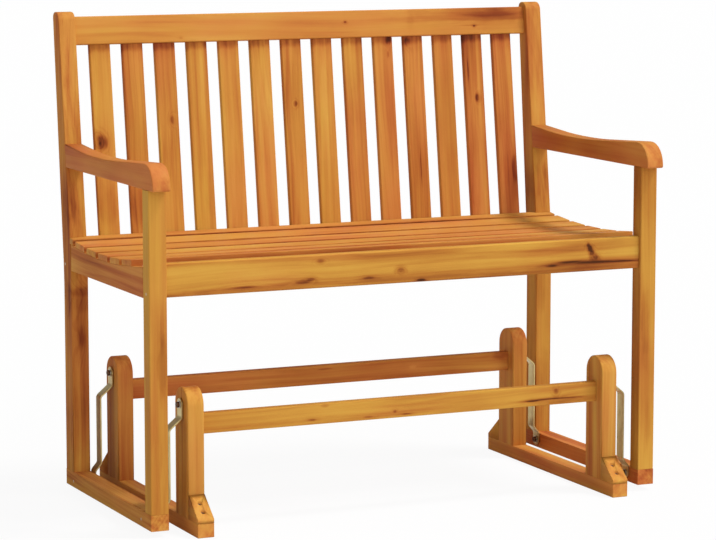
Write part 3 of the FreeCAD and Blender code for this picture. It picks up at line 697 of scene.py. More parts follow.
def outlined_board(corners, x_low, x_high, edge, kept=lambda edge: False, arc_steps=12):
    """Board cut to an outline of (y, z, corner radius), with all edges rounded but those kept sharp."""
    bm = bmesh.new()
    spots = [Vector((x_low, y, z)) for y, z, radius in corners]
    verts = [bm.verts.new(spot) for spot in spots]
    bm.faces.new(verts)
    for i, (y, z, radius) in enumerate(corners):
        if radius > 0:
            back = (spots[i - 1] - spots[i]).normalized()
            ahead = (spots[(i + 1) % len(spots)] - spots[i]).normalized()
            reach = radius / math.tan(back.angle(ahead) / 2)
            bmesh.ops.bevel(bm, geom=[verts[i]], offset=reach, offset_type="OFFSET", affect="VERTICES",
                            segments=arc_steps, profile=0.5, material=-1)
    made = bmesh.ops.extrude_face_region(bm, geom=list(bm.faces))["geom"]
    bmesh.ops.translate(bm, vec=Vector((x_high - x_low, 0, 0)), verts=only(made, BMVert))
    bmesh.ops.recalc_face_normals(bm, faces=bm.faces)
    outline = [e for e in bm.edges if abs(e.verts[0].co.x - e.verts[1].co.x) < HAIR and not kept(e)]
    soften(bm, outline, edge)
    return bm


def sliced(bm, spot, way, clear=False):
    """Cut a mesh along a plane; clear takes away what lies beyond it."""
    everything = bm.verts[:] + bm.edges[:] + bm.faces[:]
    bmesh.ops.bisect_plane(bm, geom=everything, dist=HAIR, plane_co=spot, plane_no=way, clear_outer=clear)


def ring(bm, sides, radius, matrix):
    """Edges of a new ring."""
    made = bmesh.ops.create_circle(bm, cap_ends=False, segments=sides, radius=radius, matrix=matrix)
    return list(dict.fromkeys(edge for vert in made["verts"] for edge in vert.link_edges))


def pulled(bm, edges, way):
    """Extrude some edges along a straight stretch; gives what that makes."""
    made = bmesh.ops.extrude_edge_only(bm, edges=edges)["geom"]
    bmesh.ops.translate(bm, vec=way, verts=only(made, BMVert))
    return made


def sink(bm, edges, way):
    """Sink a ring into its face and close the bottom."""
    bmesh.ops.edgeloop_fill(bm, edges=only(pulled(bm, edges, way), BMEdge))


def standing(spot, way):
    """Matrix that stands a shape on a spot, with its own Z along a way."""
    return Matrix.Translation(spot) @ way.to_track_quat("Z", "Y").to_matrix().to_4x4()


def turned(profile, steps=24):
    """Shape turned about Z from (distance out, distance along) points."""
    bm = bmesh.new()
    verts = [bm.verts.new((out, 0, along)) for out, along in profile]
    edges = [bm.edges.new(pair) for pair in zip(verts, verts[1:])]
    bmesh.ops.spin(bm, geom=verts + edges, cent=(0, 0, 0), axis=(0, 0, 1), angle=2 * math.pi,
                   steps=steps, use_merge=True, use_duplicate=False, dvec=(0, 0, 0))
    bmesh.ops.remove_doubles(bm, verts=bm.verts, dist=HAIR)
    return bm


def lathe(profile, spot, way, steps=24):
    """Turned shape that stands on a spot."""
    bm = turned(profile, steps)
    bmesh.ops.transform(bm, matrix=standing(spot, way), verts=bm.verts)
    bmesh.ops.recalc_face_normals(bm, faces=bm.faces)
    return bm


def mirror_left(bm):
    """Turn a right-hand mesh into its mirror image."""
    bmesh.ops.scale(bm, vec=(-1, 1, 1), verts=bm.verts)
    return bm


def both_sides(parts):
    """The given right-hand meshes, and copies of them on the left."""
    return list(parts) + [mirror_left(part.copy()) for part in parts]


def handed(bm):
    """Each side's name and mesh, out of the right-hand one."""
    return zip(SIDES, (mirror_left(bm.copy()), bm))


def join(parts):
    """One mesh out of several, which it frees."""
    whole = bmesh.new()
    for part in parts:
        mesh = bpy.data.meshes.new("part")
        part.to_mesh(mesh)
        part.free()
        whole.from_mesh(mesh)
        bpy.data.meshes.remove(mesh)
    return whole


def middle(node):
    low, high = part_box(node)
    return (low + high) / 2


def place(bm, spot, turn=None):
    """Turn a mesh about the origin and move it to a spot."""
    matrix = Matrix.Translation(spot)
    if turn is not None:
        matrix = matrix @ turn.to_4x4()
    bmesh.ops.transform(bm, matrix=matrix, verts=bm.verts)
    return bm


def shown(name, data):
    """A new object in the scene, at the origin."""
    made = bpy.data.objects.new(name, data)
    bpy.context.scene.collection.objects.link(made)
    return made


def solid(name, bm, material):
    """A new object from a mesh, which it frees."""
    mesh = bpy.data.meshes.new(name)
    bm.to_mesh(mesh)
    bm.free()
    mesh.materials.append(material)
    return shown(name, mesh)


def piece(name, bm, body, material):
    """Finish a mesh as a piece that rides on a body and stands for the frame's node of its name."""
    bmesh.ops.recalc_face_normals(bm, faces=bm.faces)
    made = solid(name, bm, material)
    made.data.shade_smooth()
    even = made.modifiers.new("Even shading", "WEIGHTED_NORMAL")
    even.keep_sharp = True
    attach(made, body)
    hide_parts(name)
    return made


def timber(name, kind, bm, grain, turn=None, marks=()):
    """Finish a mesh as a piece of wood with its grain along an axis."""
    body, slot = kind
    piece(name, bm, body, wood(name, grain, turn, marks))


def straight_timber(name, kind, size, grain, long_edge, end_edge, turn=None, marks=()):
    """Straight timber in the middle of its node's box."""
    bm = straight_board(size, grain, long_edge, end_edge)
    timber(name, kind, place(bm, middle(name), turn), grain, turn, marks)


def tenoned_timbers(names, kind, grain, tenon, long_edge, end_edge):
    """Straight timbers that fill their nodes' boxes, short of the tenons at both ends."""
    for name in names:
        low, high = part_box(name)
        size = high - low - 2 * tenon * AXES[grain]
        straight_timber(name, kind, size, grain, long_edge, end_edge)


# Seat

# Depth of the painted shade on the seat slats' front edges, where the gap before each slat lies in shadow,
# and on that of the front slat
SLAT_EDGE_PAINTED_SHADE = 0.9
FRONT_SLAT_PAINTED_SHADE = 0.3

# Room round the rear slat's notches
NOTCH_PLAY = 0.0003


def slat_tilt(y):
    return math.asin((y - sizes().dish_middle) / sizes().dish_radius)


def make_seat_slats():
    s = sizes()
    for i in range(SEAT_SLATS):
        name = "seat_slat_%d" % (i + 1)
        low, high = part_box(name)
        spot = middle(name)
        turn = Matrix.Rotation(slat_tilt(spot.y), 3, "X")
        width = s.seat_slat_width if i else s.rear_slat_width
        size = (high.x - low.x, width, s.seat_slat_thickness)
        bm = straight_board(size, "X", s.seat_slat_edge, s.end_edge * 1.5)
        if i == 0:
            notch_slat(bm, spot)
        # Painted shade along each slat's front edge, which is seen down in the shadowed gap
        dark = FRONT_SLAT_PAINTED_SHADE if i == SEAT_SLATS - 1 else SLAT_EDGE_PAINTED_SHADE
        front = spot - turn @ Vector((0, width / 2, 0))
        shade = Mark(front, across=0.006, along=0.7, depth=dark, push=0.0, through=0.0012)
        timber(name, SEAT_SLAT, place(bm, spot, turn), "X", turn, (shade,))


def notch_slat(bm, spot):
    """Cut the rear seat slat back at both ends to pass in front of the posts."""
    notch = side_inner - NOTCH_PLAY
    for way in (-1, 1):
        sliced(bm, (way * notch, 0, 0), AXIS_X)
    cut = post_front_line(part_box("seat_slat_1")[1].z) - spot.y - NOTCH_PLAY
    sliced(bm, (0, cut, 0), AXIS_Y)
    middles = [(face, face.calc_center_median()) for face in bm.faces]
    behind = [face for face, centre in middles if abs(centre.x) > notch and centre.y > cut]
    bmesh.ops.delete(bm, geom=behind, context="FACES")
    bmesh.ops.holes_fill(bm, edges=bm.edges, sides=0)


def post_front_line(z):
    """Place of the rear post's front face at a height."""
    s = sizes()
    front = foot_high.y - s.post_depth
    return front + s.post_front_lean * max(0.0, z - s.post_front_bend)


def seat_rail(node):
    """Bearer between its tenons, with a flat for each slat cut into its top."""
    s = sizes()
    low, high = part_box(node)
    y_front = low.y + s.tenon
    y_back = high.y - s.tenon
    tilts = [slat_tilt(middle("seat_slat_%d" % i).y) for i in range(SEAT_SLATS, 0, -1)]
    slat = middle("seat_slat_4")
    reach = s.dish_radius + s.seat_slat_thickness
    centre_y = s.dish_middle
    centre_z = slat.z + s.seat_slat_thickness / 2 + s.dish_radius * math.cos(slat_tilt(slat.y))

    def under(tilt, y):
        return centre_z + ((y - centre_y) * math.sin(tilt) - reach) / math.cos(tilt)

    corners = [(y_front, low.z, 0), (y_front, under(tilts[0], y_front), 0)]
    for near, far in zip(tilts, tilts[1:]):
        tilt = (near + far) / 2
        out = reach / math.cos((far - near) / 2)
        corners.append((centre_y + out * math.sin(tilt), centre_z - out * math.cos(tilt), 0))
    corners += [(y_back, under(tilts[-1], y_back), 0), (y_back, low.z, 0)]
    return outlined_board(corners, low.x, high.x, s.end_edge * 2)


def make_seat_rails():
    for side, bm in handed(seat_rail("side_seat_rail_right")):
        timber("side_seat_rail_" + side, BENCH_TIMBER, bm, "Y")
    timber("middle_seat_rail", BENCH_TIMBER, seat_rail("middle_seat_rail"), "Y")


def make_apron():
    s = sizes()
    tenoned_timbers(["front_apron"], BENCH_TIMBER, "X", s.tenon, s.edge * 1.5, s.end_edge)


# Back

# How far below the top rail the painted shadow of that rail on the back slats has its middle
PAINTED_RAIL_SHADOW_DROP = 0.003


def back_turn():
    """Turn that leans an upright piece with the back."""
    return Matrix.Rotation(-math.atan(sizes().back_slope), 3, "X")


def make_back_slats():
    s = sizes()
    turn = back_turn()
    size = (s.back_slat_width, s.back_slat_thickness, s.back_slat_length)
    top = turn @ Vector((0, 0, s.back_slat_length / 2 - PAINTED_RAIL_SHADOW_DROP))
    for i in range(BACK_SLATS):
        name = "back_slat_%02d" % (i + 1)
        # Painted shadow of the top rail across the top of each back slat
        shade = Mark(middle(name) + top, across=0.12, along=0.016, depth=0.52, push=0.0, through=0.12)
        straight_timber(name, BACK_SLAT, size, "Z", s.slat_edge, s.end_edge, turn, (shade,))


def make_back_rails():
    s = sizes()
    for name, height in (("top_back_rail", s.top_rail_height), ("lower_back_rail", s.lower_rail_height)):
        size = (2 * side_inner, s.back_rail_thickness, height)
        straight_timber(name, BENCH_TIMBER, size, "X", s.edge, s.end_edge, back_turn())


# Side frames

def make_posts():
    s = sizes()
    front = foot_high.y - s.post_depth
    back = foot_high.y
    corners = [
        (front, foot_top, 0),
        (front, s.post_front_bend, s.post_bend_radius),
        (front + s.post_front_lean * (post_top - s.post_front_bend), post_top, s.post_top_front),
        (back + s.post_back_lean * (post_top - s.post_back_bend), post_top, s.post_top_back),
        (back, s.post_back_bend, s.post_bend_radius),
        (back, foot_top, 0),
    ]
    post = outlined_board(corners, side_inner, side_outer, s.edge, lambda e: at_height(e, foot_top))
    for side, bm in handed(post):
        timber("rear_post_" + side, BENCH_TIMBER, bm, "Z")


def make_legs():
    s = sizes()
    names = ["front_leg_" + side for side in SIDES]
    tenoned_timbers(names, BENCH_TIMBER, "Z", s.leg_tenon, s.edge, s.end_edge)


def make_arms():
    s = sizes()
    nose = arm_low.y
    back = leg_front + s.arm_back_from_leg
    corners = [
        (nose, arm_low.z, s.arm_nose_under),
        (nose, s.arm_front_height, s.arm_nose_radius),
        (leg_front + s.arm_dip_from_leg, s.arm_dip_height, s.arm_dip_radius),
        (back, s.arm_back_height, 0),
        (back, arm_low.z, 0),
    ]
    arm = outlined_board(corners, side_inner, side_outer, s.edge)
    trim_behind(arm)
    for side, bm in handed(arm):
        timber("armrest_" + side, BENCH_TIMBER, bm, "Y")


def trim_behind(bm):
    """Cut an arm's back end along the leaning front of the post."""
    spot = Vector((0, post_front_line(arm_low.z), arm_low.z))
    out = Vector((0, 1, -sizes().post_front_lean)).normalized()
    sliced(bm, spot, out, True)
    bmesh.ops.edgeloop_fill(bm, edges=[edge for edge in bm.edges if edge.is_boundary])


def make_foot_rails():
    s = sizes()
    names = ["foot_rail_" + side for side in SIDES]
    tenoned_timbers(names, BENCH_TIMBER, "Y", 0, s.rail_edge, s.end_edge)


# Base

# A round top's two arcs have a little less than half its width, so that they don't meet in one point
ROUND_TOP = 0.9995

# Where the screws stand on a foot block's slope, from its top to its foot
HOLE_SHARES = (0.35, 0.70)


def make_floor_rails():
    s = sizes()
    names = ["floor_rail_" + side for side in SIDES]
    tenoned_timbers(names, BASE_TIMBER, "Y", 0, s.rail_edge, s.rail_edge)


def make_uprights():
    s = sizes()
    for end in ENDS:
        low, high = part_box("upright_%s_right" % end)
        foot = low.z + s.leg_tenon
        radius = (high.y - low.y) / 2 * ROUND_TOP
        corners = [(low.y, foot, 0), (low.y, high.z, radius), (high.y, high.z, radius), (high.y, foot, 0)]
        upright = outlined_board(corners, base_inner, base_outer, s.edge, lambda e: at_height(e, foot))
        for side, bm in handed(upright):
            timber("upright_%s_%s" % (end, side), BASE_TIMBER, bm, "Z")


def make_stretchers():
    s = sizes()
    names = ["stretcher_" + end for end in ENDS]
    tenoned_timbers(names, BASE_TIMBER, "X", s.tenon, s.edge, s.end_edge)


def block_slope(end):
    """Top and foot of a block's sloping face, on the right, and the way its screws drive in."""
    s = sizes()
    low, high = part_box("foot_block_%s_right" % end)
    across = (low.x + high.x) / 2
    y_top, y_foot = (high.y, low.y) if end == "front" else (low.y, high.y)
    top = Vector((across, y_top, low.z + s.block_height - floor_top))
    foot = Vector((across, y_foot, low.z + s.block_nose - floor_top))
    inward = AXIS_X.cross(foot - top).normalized()
    if inward.z > 0:
        inward = -inward
    return top, foot, inward


def drill(bm, face, mouths, inward, radius, depth):
    """Blind round holes in one flat face."""
    rim = list(face.edges)
    bmesh.ops.delete(bm, geom=[face], context="FACES_ONLY")
    rings = [ring(bm, 20, radius, standing(mouth, inward)) for mouth in mouths]
    bmesh.ops.triangle_fill(bm, edges=rim + sum(rings, []), use_beauty=True, normal=-inward)
    for edges in rings:
        sink(bm, edges, inward * depth)


def foot_block(top, foot, inward):
    """Sloping block with its screw holes, sharp where it lies against the floor rail and the upright."""
    s = sizes()
    corners = [(top.y, floor_top, 0), (top.y, top.z, 0), (foot.y, foot.z, 0), (foot.y, floor_top, 0)]

    def hidden(edge):
        against_upright = is_along(edge, AXIS_Z) and abs(edge.verts[0].co.y - top.y) < HAIR
        return against_upright or at_height(edge, floor_top)

    bm = outlined_board(corners, base_inner, base_outer, s.rail_edge, hidden)
    slope = max(bm.faces, key=lambda f: -f.normal.dot(inward) * f.calc_area())
    mouths = [top.lerp(foot, share) for share in HOLE_SHARES]
    drill(bm, slope, mouths, inward, s.block_hole, s.block_hole_depth)
    return bm


def make_foot_blocks():
    for end in ENDS:
        top, foot, inward = block_slope(end)
        for side, bm in handed(foot_block(top, foot, inward)):
            way = 1 if side == "right" else -1
            # Painted shade in each screw hole, darkening its walls and a little of its rim
            painted_hole_shade = []
            for share in HOLE_SHARES:
                x, y, z = top.lerp(foot, share) + inward * sizes().block_hole
                painted_hole_shade.append(Mark((way * x, y, z), 0.004, 0.004, depth=1.1, push=0.0, through=0.004))
            timber("foot_block_%s_%s" % (end, side), BASE_TIMBER, bm, "Y", None, painted_hole_shade)


# Swing

# Rounding of a strap's edges, and faces across each of its bends
STRAP_EDGE = 0.0004
BEND_STEPS = 5

# Room between a strap's eye and the washer at each side of it
SIDE_PLAY = 0.0001

# Bore of the washers, and the fine rounding of their edges
WASHER_BORE = 0.0033
WASHER_EDGE = 0.0002

# Rounding of a pivot screw's head, how far round it goes and in how many steps
CROWN_ROUND = 0.0016
CROWN_TURN = math.radians(78)
CROWN_STEPS = 6

# Depth of the hexagon socket, and how much wider than its corners the round rim about it is
SOCKET_DEPTH = 0.003
SOCKET_RIM = 1.12

# How far the head of a foot block's screw stands off the bottom of its hole, and its half outline:
# distance out and height, with a dimple in the middle
BLOCK_HEAD_LIFT = 0.0002
BLOCK_HEAD = ((0.0, 0.0), (0.0044, 0.0), (0.0044, 0.0012), (0.0034, 0.0022), (0.0018, 0.0026),
              (0.0012, 0.0012), (0.0, 0.0008))


def strap_holes(node):
    """Half width of a strap, its place to the rear, and the heights of its two holes."""
    low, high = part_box(node)
    half = (high.y - low.y) / 2
    return half, (low.y + high.y) / 2, high.z - half, low.z + half


def make_straps():
    for end in ENDS:
        for side, bm in handed(strap_sheet("link_%s_right" % end)):
            name = "link_%s_%s" % (end, side)
            made = piece(name, bm, name, zinc())
            thick = made.modifiers.new("Thickness", "SOLIDIFY")
            thick.thickness = sizes().strap_thickness
            thick.offset = 0.0
            thick.use_even_offset = True
            rounded = made.modifiers.new("Edges", "BEVEL")
            rounded.width = STRAP_EDGE
            rounded.segments = 2
            rounded.limit_method = "ANGLE"
            rounded.angle_limit = math.radians(40)
            # The even shading comes last
            made.modifiers.move(0, 2)


def eye(bm, spot, half, neck, hole, up, sides=24):
    """Flat ring round a hole, half round at its end and square at the neck; gives the neck's edges."""
    rim = []
    inner = []
    for i in range(sides):
        turn = 2 * math.pi * i / sides
        y = math.cos(turn)
        z = math.sin(turn)
        inner.append(bm.verts.new(spot + Vector((0, hole * y, up * hole * z))))
        if z < 0:
            scale = 1 / max(abs(y), abs(z))
            y, z = y * scale, z * scale
        reach = half if z > 0 else neck
        rim.append(bm.verts.new(spot + Vector((0, half * y, up * reach * z))))
    edges = []
    for i in range(sides):
        j = (i + 1) % sides
        bm.faces.new((inner[i], inner[j], rim[j], rim[i]))
        edge = bm.edges.get((rim[i], rim[j]))
        if at_height(edge, spot.z - up * neck):
            edges.append(edge)
    return edges


def strap_sheet(node):
    """Middle surface of a strap: an eye, two joggles and an eye, bent as on a brake."""
    s = sizes()
    low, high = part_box(node)
    half, y, upper_hole, lower_hole = strap_holes(node)
    upper = Vector((low.x + s.strap_thickness / 2, y, upper_hole))
    lower = Vector((high.x - s.strap_thickness / 2, y, lower_hole))
    bm = bmesh.new()
    neck = s.strap_neck
    edges = eye(bm, upper, half, neck, s.strap_hole, 1)
    eye(bm, lower, half, neck, s.strap_hole, -1)

    spine = [
        Vector((upper.x, y, upper.z - neck)),
        Vector((upper.x, y, s.strap_upper_start)),
        Vector((s.strap_middle, y, s.strap_upper_end)),
        Vector((s.strap_middle, y, s.strap_lower_start)),
        Vector((lower.x, y, s.strap_lower_end)),
        Vector((lower.x, y, lower.z + neck)),
    ]
    here = spine[0]
    for before, corner, after in zip(spine, spine[1:], spine[2:]):
        back = (before - corner).normalized()
        ahead = (after - corner).normalized()
        turn = math.pi - back.angle(ahead)
        reach = s.strap_bend * math.tan(turn / 2)
        start = corner + back * reach
        centre = corner + (back + ahead).normalized() * (s.strap_bend / math.cos(turn / 2))
        edges = far_edges(pulled(bm, edges, start - here))
        axis = (-back).cross(ahead).normalized()
        made = bmesh.ops.spin(bm, geom=edges, cent=centre, axis=axis, angle=turn, steps=BEND_STEPS,
                              use_merge=False, use_duplicate=False, dvec=(0, 0, 0))
        edges = far_edges(made["geom_last"])
        here = corner + ahead * reach
    pulled(bm, edges, spine[-1] - here)
    bmesh.ops.remove_doubles(bm, verts=bm.verts, dist=10 * HAIR)
    return bm


def far_edges(made):
    """Edges of newly made geometry whose two ends are both new."""
    new = set(only(made, BMVert))
    return [edge for edge in only(made, BMEdge) if new.issuperset(edge.verts)]


def pivots(level):
    """Where the right-hand screws of a level meet the timber's face, and the way out of it."""
    found = []
    for end in ENDS:
        half, y, upper, lower = strap_holes("link_%s_right" % end)
        if level == "upper":
            found.append((Vector((base_outer, y, upper)), AXIS_X))
        else:
            found.append((Vector((side_inner, y, lower)), -AXIS_X))
    return found


def socket_screw(seat, way, shank):
    """Button head with a hexagon socket, and its shoulder down to the timber."""
    s = sizes()
    height = s.screw_head_height
    profile = [(s.screw_shank, -shank), (s.screw_shank, 0.0), (s.screw_head, 0.0)]
    for i in range(CROWN_STEPS + 1):
        turn = CROWN_TURN * i / CROWN_STEPS
        profile.append((s.screw_head - CROWN_ROUND + CROWN_ROUND * math.cos(turn),
                        height - CROWN_ROUND + CROWN_ROUND * math.sin(turn)))
    profile.append((s.screw_socket * SOCKET_RIM, height))
    bm = turned(profile)
    top = [e for e in bm.edges if e.is_boundary and at_height(e, height)]
    foot = [e for e in bm.edges if e.is_boundary and at_height(e, -shank)]
    bmesh.ops.edgeloop_fill(bm, edges=foot)
    hexagon = ring(bm, 6, s.screw_socket, Matrix.Translation((0, 0, height)))
    bmesh.ops.triangle_fill(bm, edges=top + hexagon, use_beauty=True, normal=(0, 0, 1))
    sink(bm, hexagon, (0, 0, -SOCKET_DEPTH))
    bmesh.ops.transform(bm, matrix=standing(seat, way), verts=bm.verts)
    return bm


def make_pivot_screws():
    s = sizes()
    room = 2 * s.washer_thickness + s.strap_thickness + 2 * SIDE_PLAY
    for level, body in LEVELS:
        screws = [socket_screw(spot + way * room, way, room) for spot, way in pivots(level)]
        piece(level + "_pivot_screws", join(both_sides(screws)), body, dull_steel())


def make_washers():
    s = sizes()
    outer = s.washer_radius
    thin = s.washer_thickness
    gap = thin + s.strap_thickness + 2 * SIDE_PLAY
    profile = [
        (WASHER_BORE, WASHER_EDGE),
        (WASHER_BORE + WASHER_EDGE, 0.0),
        (outer - WASHER_EDGE, 0.0),
        (outer, WASHER_EDGE),
        (outer, thin - WASHER_EDGE),
        (outer - WASHER_EDGE, thin),
        (WASHER_BORE + WASHER_EDGE, thin),
        (WASHER_BORE, thin - WASHER_EDGE),
        (WASHER_BORE, WASHER_EDGE),
    ]
    for level, body in LEVELS:
        rings = []
        for spot, way in pivots(level):
            rings += [lathe(profile, spot, way), lathe(profile, spot + way * gap, way)]
        piece(level + "_pivot_washers", join(both_sides(rings)), body, steel())


def make_block_screws():
    """Low heads at the bottom of the holes in the foot blocks."""
    sunk = sizes().block_hole_depth - BLOCK_HEAD_LIFT
    heads = []
    for end in ENDS:
        top, foot, inward = block_slope(end)
        for share in HOLE_SHARES:
            heads.append(lathe(BLOCK_HEAD, top.lerp(foot, share) + inward * sunk, -inward, 20))
    piece("foot_block_screws", join(both_sides(heads)), "base", dull_steel())


# Cover plugs

# Distance of each plug behind the leg's front, and its height
PLUG_SPOTS = ((0.0164, 0.470), (0.491, 0.470), (0.056, 0.027), (0.456, 0.025))

# How deep a plug is let in, and the half outline of its domed end: distance in from its side, height
PLUG_DEPTH = 0.004
PLUG_DOME = ((0.0, 0.0038), (0.0003, 0.0041))
PLUG_HEIGHT = 0.0042


def make_plugs():
    r = sizes().plug_radius
    dome = [(r - within, height) for within, height in PLUG_DOME]
    profile = [(0.0, 0.0), (r, 0.0)] + dome + [(0.0, PLUG_HEIGHT)]
    plugs = []
    for from_leg, height in PLUG_SPOTS:
        spot = Vector((side_outer - PLUG_DEPTH, leg_front + from_leg, height))
        plugs.append(lathe(profile, spot, AXIS_X, 20))
    piece("joint_plugs", join(both_sides(plugs)), "bench", plug_wood())


# Stage

WHITE = (1.0, 1.0, 1.0, 1.0)


def floor_material(settings):
    """Pale floor: white to the camera, with the soft shadow of what stands on it."""
    material, nodes = new_material("Pale floor")[:2]
    nodes.tree.nodes.clear()
    here = nodes.add("TexCoord").outputs["Object"]
    grain = nodes.noise(here, (3.0, 3.0, 3.0), 0.0, 3.0).outputs["Fac"]
    tone = nodes.ramp(grain, 0.2, 0.8, settings.floor_tone - 0.01, settings.floor_tone + 0.01)
    tone = nodes.add("CombineColor", {0: tone, 1: tone, 2: tone}).outputs[0]
    plain = nodes.add("BsdfDiffuse", {"Color": tone}).outputs[0]
    dim = settings.floor_tone * (1 - settings.floor_glow)
    seen = nodes.add("BsdfDiffuse", {"Color": (dim, dim, dim, 1.0)}).outputs[0]
    glow = nodes.add("Emission", {"Color": WHITE, "Strength": settings.floor_glow}).outputs[0]
    lit = nodes.add("AddShader", {0: seen, 1: glow}).outputs[0]
    camera_sees = nodes.add("LightPath").outputs["Is Camera Ray"]
    both = nodes.add("MixShader", {0: camera_sees, 1: plain, 2: lit}).outputs[0]
    nodes.add("OutputMaterial", {"Surface": both}).is_active_output = True
    return material


def make_floor(settings):
    bm = bmesh.new()
    bmesh.ops.create_grid(bm, x_segments=1, y_segments=1, size=settings.floor_size / 2)
    solid("floor", bm, floor_material(settings))


def make_sky(settings):
    """Even light from all round, which the camera sees as white."""
    world = bpy.data.worlds.new("Studio")
    world.use_nodes = True
    world.node_tree.nodes.clear()
    nodes = Nodes(world.node_tree)
    camera_sees = nodes.add("LightPath").outputs["Is Camera Ray"]
    strength = nodes.ramp(camera_sees, 0.0, 1.0, settings.sky, 1.0)
    sky = nodes.add("Background", {"Color": WHITE, "Strength": strength})
    nodes.add("OutputWorld", {"Surface": sky.outputs[0]})
    bpy.context.scene.world = world


def make_lamps(settings):
    """A key lamp high on the right, and a broad low fill from the front."""
    # Strength of each, and its width, tilt and turn in degrees
    for name, strength, width, tilt, turn in (("Key", settings.key, 15, 28, 66),
                                              ("Fill", settings.fill, 70, 68, 20)):
        lamp = bpy.data.lights.new(name, "SUN")
        lamp.energy = strength
        lamp.angle = math.radians(width)
        shown(name, lamp).rotation_euler = Euler((math.radians(tilt), 0, math.radians(turn)))


def make_camera(settings):
    data = bpy.data.cameras.new("Camera")
    data.sensor_width = 36.0
    data.lens = settings.lens
    data.clip_end = 500.0
    camera = shown("Camera", data)
    camera.location = settings.camera_place
    camera.rotation_euler = Euler((math.pi / 2 - settings.camera_fall, 0, -settings.camera_turn))
    bpy.context.scene.camera = camera


def make_stage():
    settings = bpy.context.scene.bench_stage
    bpy.context.scene.view_settings.view_transform = "Standard"
    make_floor(settings)
    make_sky(settings)
    make_lamps(settings)
    make_camera(settings)


# Operators

class Maker:
    """What all the bench's operators share."""

    bl_options = {"REGISTER", "UNDO"}


class BENCH_OT_seat_slats(Maker, bpy.types.Operator):
    """Make the six seat slats."""

    bl_idname = "bench.seat_slats"
    bl_label = "Seat slats"

    def execute(self, context):
        make_seat_slats()
        return {"FINISHED"}


class BENCH_OT_seat_rails(Maker, bpy.types.Operator):
    """Make the bearers under the seat."""

    bl_idname = "bench.seat_rails"
    bl_label = "Seat rails"

    def execute(self, context):
        make_seat_rails()
        return {"FINISHED"}


class BENCH_OT_apron(Maker, bpy.types.Operator):
    """Make the front apron."""

    bl_idname = "bench.apron"
    bl_label = "Apron"

    def execute(self, context):
        make_apron()
        return {"FINISHED"}


class BENCH_OT_back_slats(Maker, bpy.types.Operator):
    """Make the fourteen back slats."""

    bl_idname = "bench.back_slats"
    bl_label = "Back slats"

    def execute(self, context):
        make_back_slats()
        return {"FINISHED"}


class BENCH_OT_back_rails(Maker, bpy.types.Operator):
    """Make the two rails that hold the back slats."""

    bl_idname = "bench.back_rails"
    bl_label = "Back rails"

    def execute(self, context):
        make_back_rails()
        return {"FINISHED"}


class BENCH_OT_posts(Maker, bpy.types.Operator):
    """Make the two leaning rear posts."""

    bl_idname = "bench.posts"
    bl_label = "Rear posts"

    def execute(self, context):
        make_posts()
        return {"FINISHED"}


class BENCH_OT_legs(Maker, bpy.types.Operator):
    """Make the two front legs."""

    bl_idname = "bench.legs"
    bl_label = "Front legs"

    def execute(self, context):
        make_legs()
        return {"FINISHED"}


class BENCH_OT_arms(Maker, bpy.types.Operator):
    """Make the two armrests."""

    bl_idname = "bench.arms"
    bl_label = "Armrests"

    def execute(self, context):
        make_arms()
        return {"FINISHED"}


class BENCH_OT_foot_rails(Maker, bpy.types.Operator):
    """Make the two rails that the legs and posts stand on."""

    bl_idname = "bench.foot_rails"
    bl_label = "Foot rails"

    def execute(self, context):
        make_foot_rails()
        return {"FINISHED"}


class BENCH_OT_floor_rails(Maker, bpy.types.Operator):
    """Make the two rails that lie on the floor."""

    bl_idname = "bench.floor_rails"
    bl_label = "Floor rails"

    def execute(self, context):
        make_floor_rails()
        return {"FINISHED"}


class BENCH_OT_uprights(Maker, bpy.types.Operator):
    """Make the four round-topped uprights of the base."""

    bl_idname = "bench.uprights"
    bl_label = "Uprights"

    def execute(self, context):
        make_uprights()
        return {"FINISHED"}


class BENCH_OT_stretchers(Maker, bpy.types.Operator):
    """Make the two stretchers between the uprights."""

    bl_idname = "bench.stretchers"
    bl_label = "Stretchers"

    def execute(self, context):
        make_stretchers()
        return {"FINISHED"}


class BENCH_OT_foot_blocks(Maker, bpy.types.Operator):
    """Make the four sloping foot blocks with their screw holes."""

    bl_idname = "bench.foot_blocks"
    bl_label = "Foot blocks"

    def execute(self, context):
        make_foot_blocks()
        return {"FINISHED"}


class BENCH_OT_straps(Maker, bpy.types.Operator):
    """Make the four bent straps that the bench hangs on."""

    bl_idname = "bench.straps"
    bl_label = "Straps"

    def execute(self, context):
        make_straps()
        return {"FINISHED"}


class BENCH_OT_pivot_screws(Maker, bpy.types.Operator):
    """Make the screws that the straps turn on."""

    bl_idname = "bench.pivot_screws"
    bl_label = "Pivot screws"

    def execute(self, context):
        make_pivot_screws()
        return {"FINISHED"}


class BENCH_OT_washers(Maker, bpy.types.Operator):
    """Make the washers each side of the straps."""

    bl_idname = "bench.washers"
    bl_label = "Washers"

    def execute(self, context):
        make_washers()
        return {"FINISHED"}


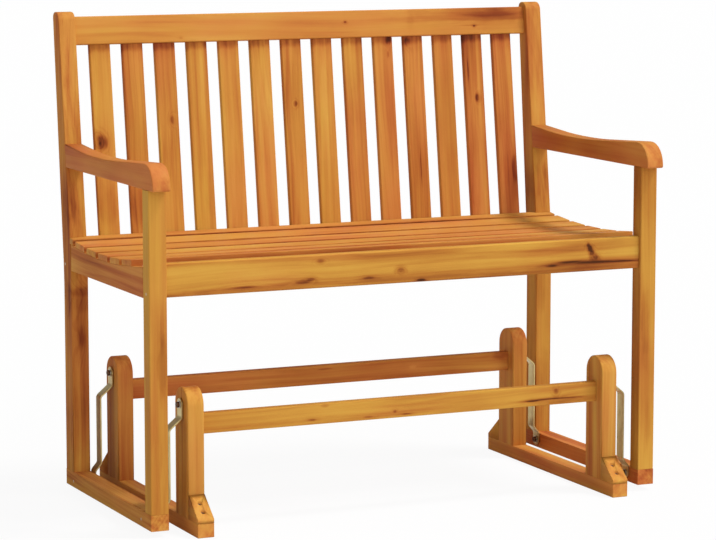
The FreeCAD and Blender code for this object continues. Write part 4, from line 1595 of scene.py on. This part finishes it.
class BENCH_OT_block_screws(Maker, bpy.types.Operator):
    """Make the screws in the foot blocks."""

    bl_idname = "bench.block_screws"
    bl_label = "Block screws"

    def execute(self, context):
        make_block_screws()
        return {"FINISHED"}


class BENCH_OT_plugs(Maker, bpy.types.Operator):
    """Make the pale cover plugs."""

    bl_idname = "bench.plugs"
    bl_label = "Cover plugs"

    def execute(self, context):
        make_plugs()
        return {"FINISHED"}


class BENCH_OT_stage(Maker, bpy.types.Operator):
    """Make the floor, the lamps and the camera."""

    bl_idname = "bench.stage"
    bl_label = "Stage"

    def execute(self, context):
        make_stage()
        return {"FINISHED"}


OPERATORS = (
    BENCH_OT_seat_slats, BENCH_OT_seat_rails, BENCH_OT_apron, BENCH_OT_back_slats, BENCH_OT_back_rails,
    BENCH_OT_posts, BENCH_OT_legs, BENCH_OT_arms, BENCH_OT_foot_rails, BENCH_OT_floor_rails,
    BENCH_OT_uprights, BENCH_OT_stretchers, BENCH_OT_foot_blocks, BENCH_OT_straps, BENCH_OT_pivot_screws,
    BENCH_OT_washers, BENCH_OT_block_screws, BENCH_OT_plugs, BENCH_OT_stage,
)
GROUPS = (BenchSizes, BenchFinish, BenchStage)


class BENCH_PT_panel(bpy.types.Panel):
    """Sidebar panel with one button for each group of pieces."""

    bl_idname = "BENCH_PT_panel"
    bl_label = "Glider bench"
    bl_space_type = "VIEW_3D"
    bl_region_type = "UI"
    bl_category = "Bench"

    def draw(self, context):
        for operator in OPERATORS:
            self.layout.operator(operator.bl_idname)


def register():
    for cls in GROUPS + OPERATORS + (BENCH_PT_panel,):
        bpy.utils.register_class(cls)
    bpy.types.Scene.bench_sizes = PointerProperty(type=BenchSizes)
    bpy.types.Scene.bench_finish = PointerProperty(type=BenchFinish)
    bpy.types.Scene.bench_stage = PointerProperty(type=BenchStage)


def unregister():
    del bpy.types.Scene.bench_stage
    del bpy.types.Scene.bench_finish
    del bpy.types.Scene.bench_sizes
    for cls in reversed(GROUPS + OPERATORS + (BENCH_PT_panel,)):
        bpy.utils.unregister_class(cls)


def main():
    register()
    for operator in OPERATORS:
        getattr(bpy.ops.bench, operator.bl_idname.split(".")[1])()


if __name__ == "__main__":
    main()
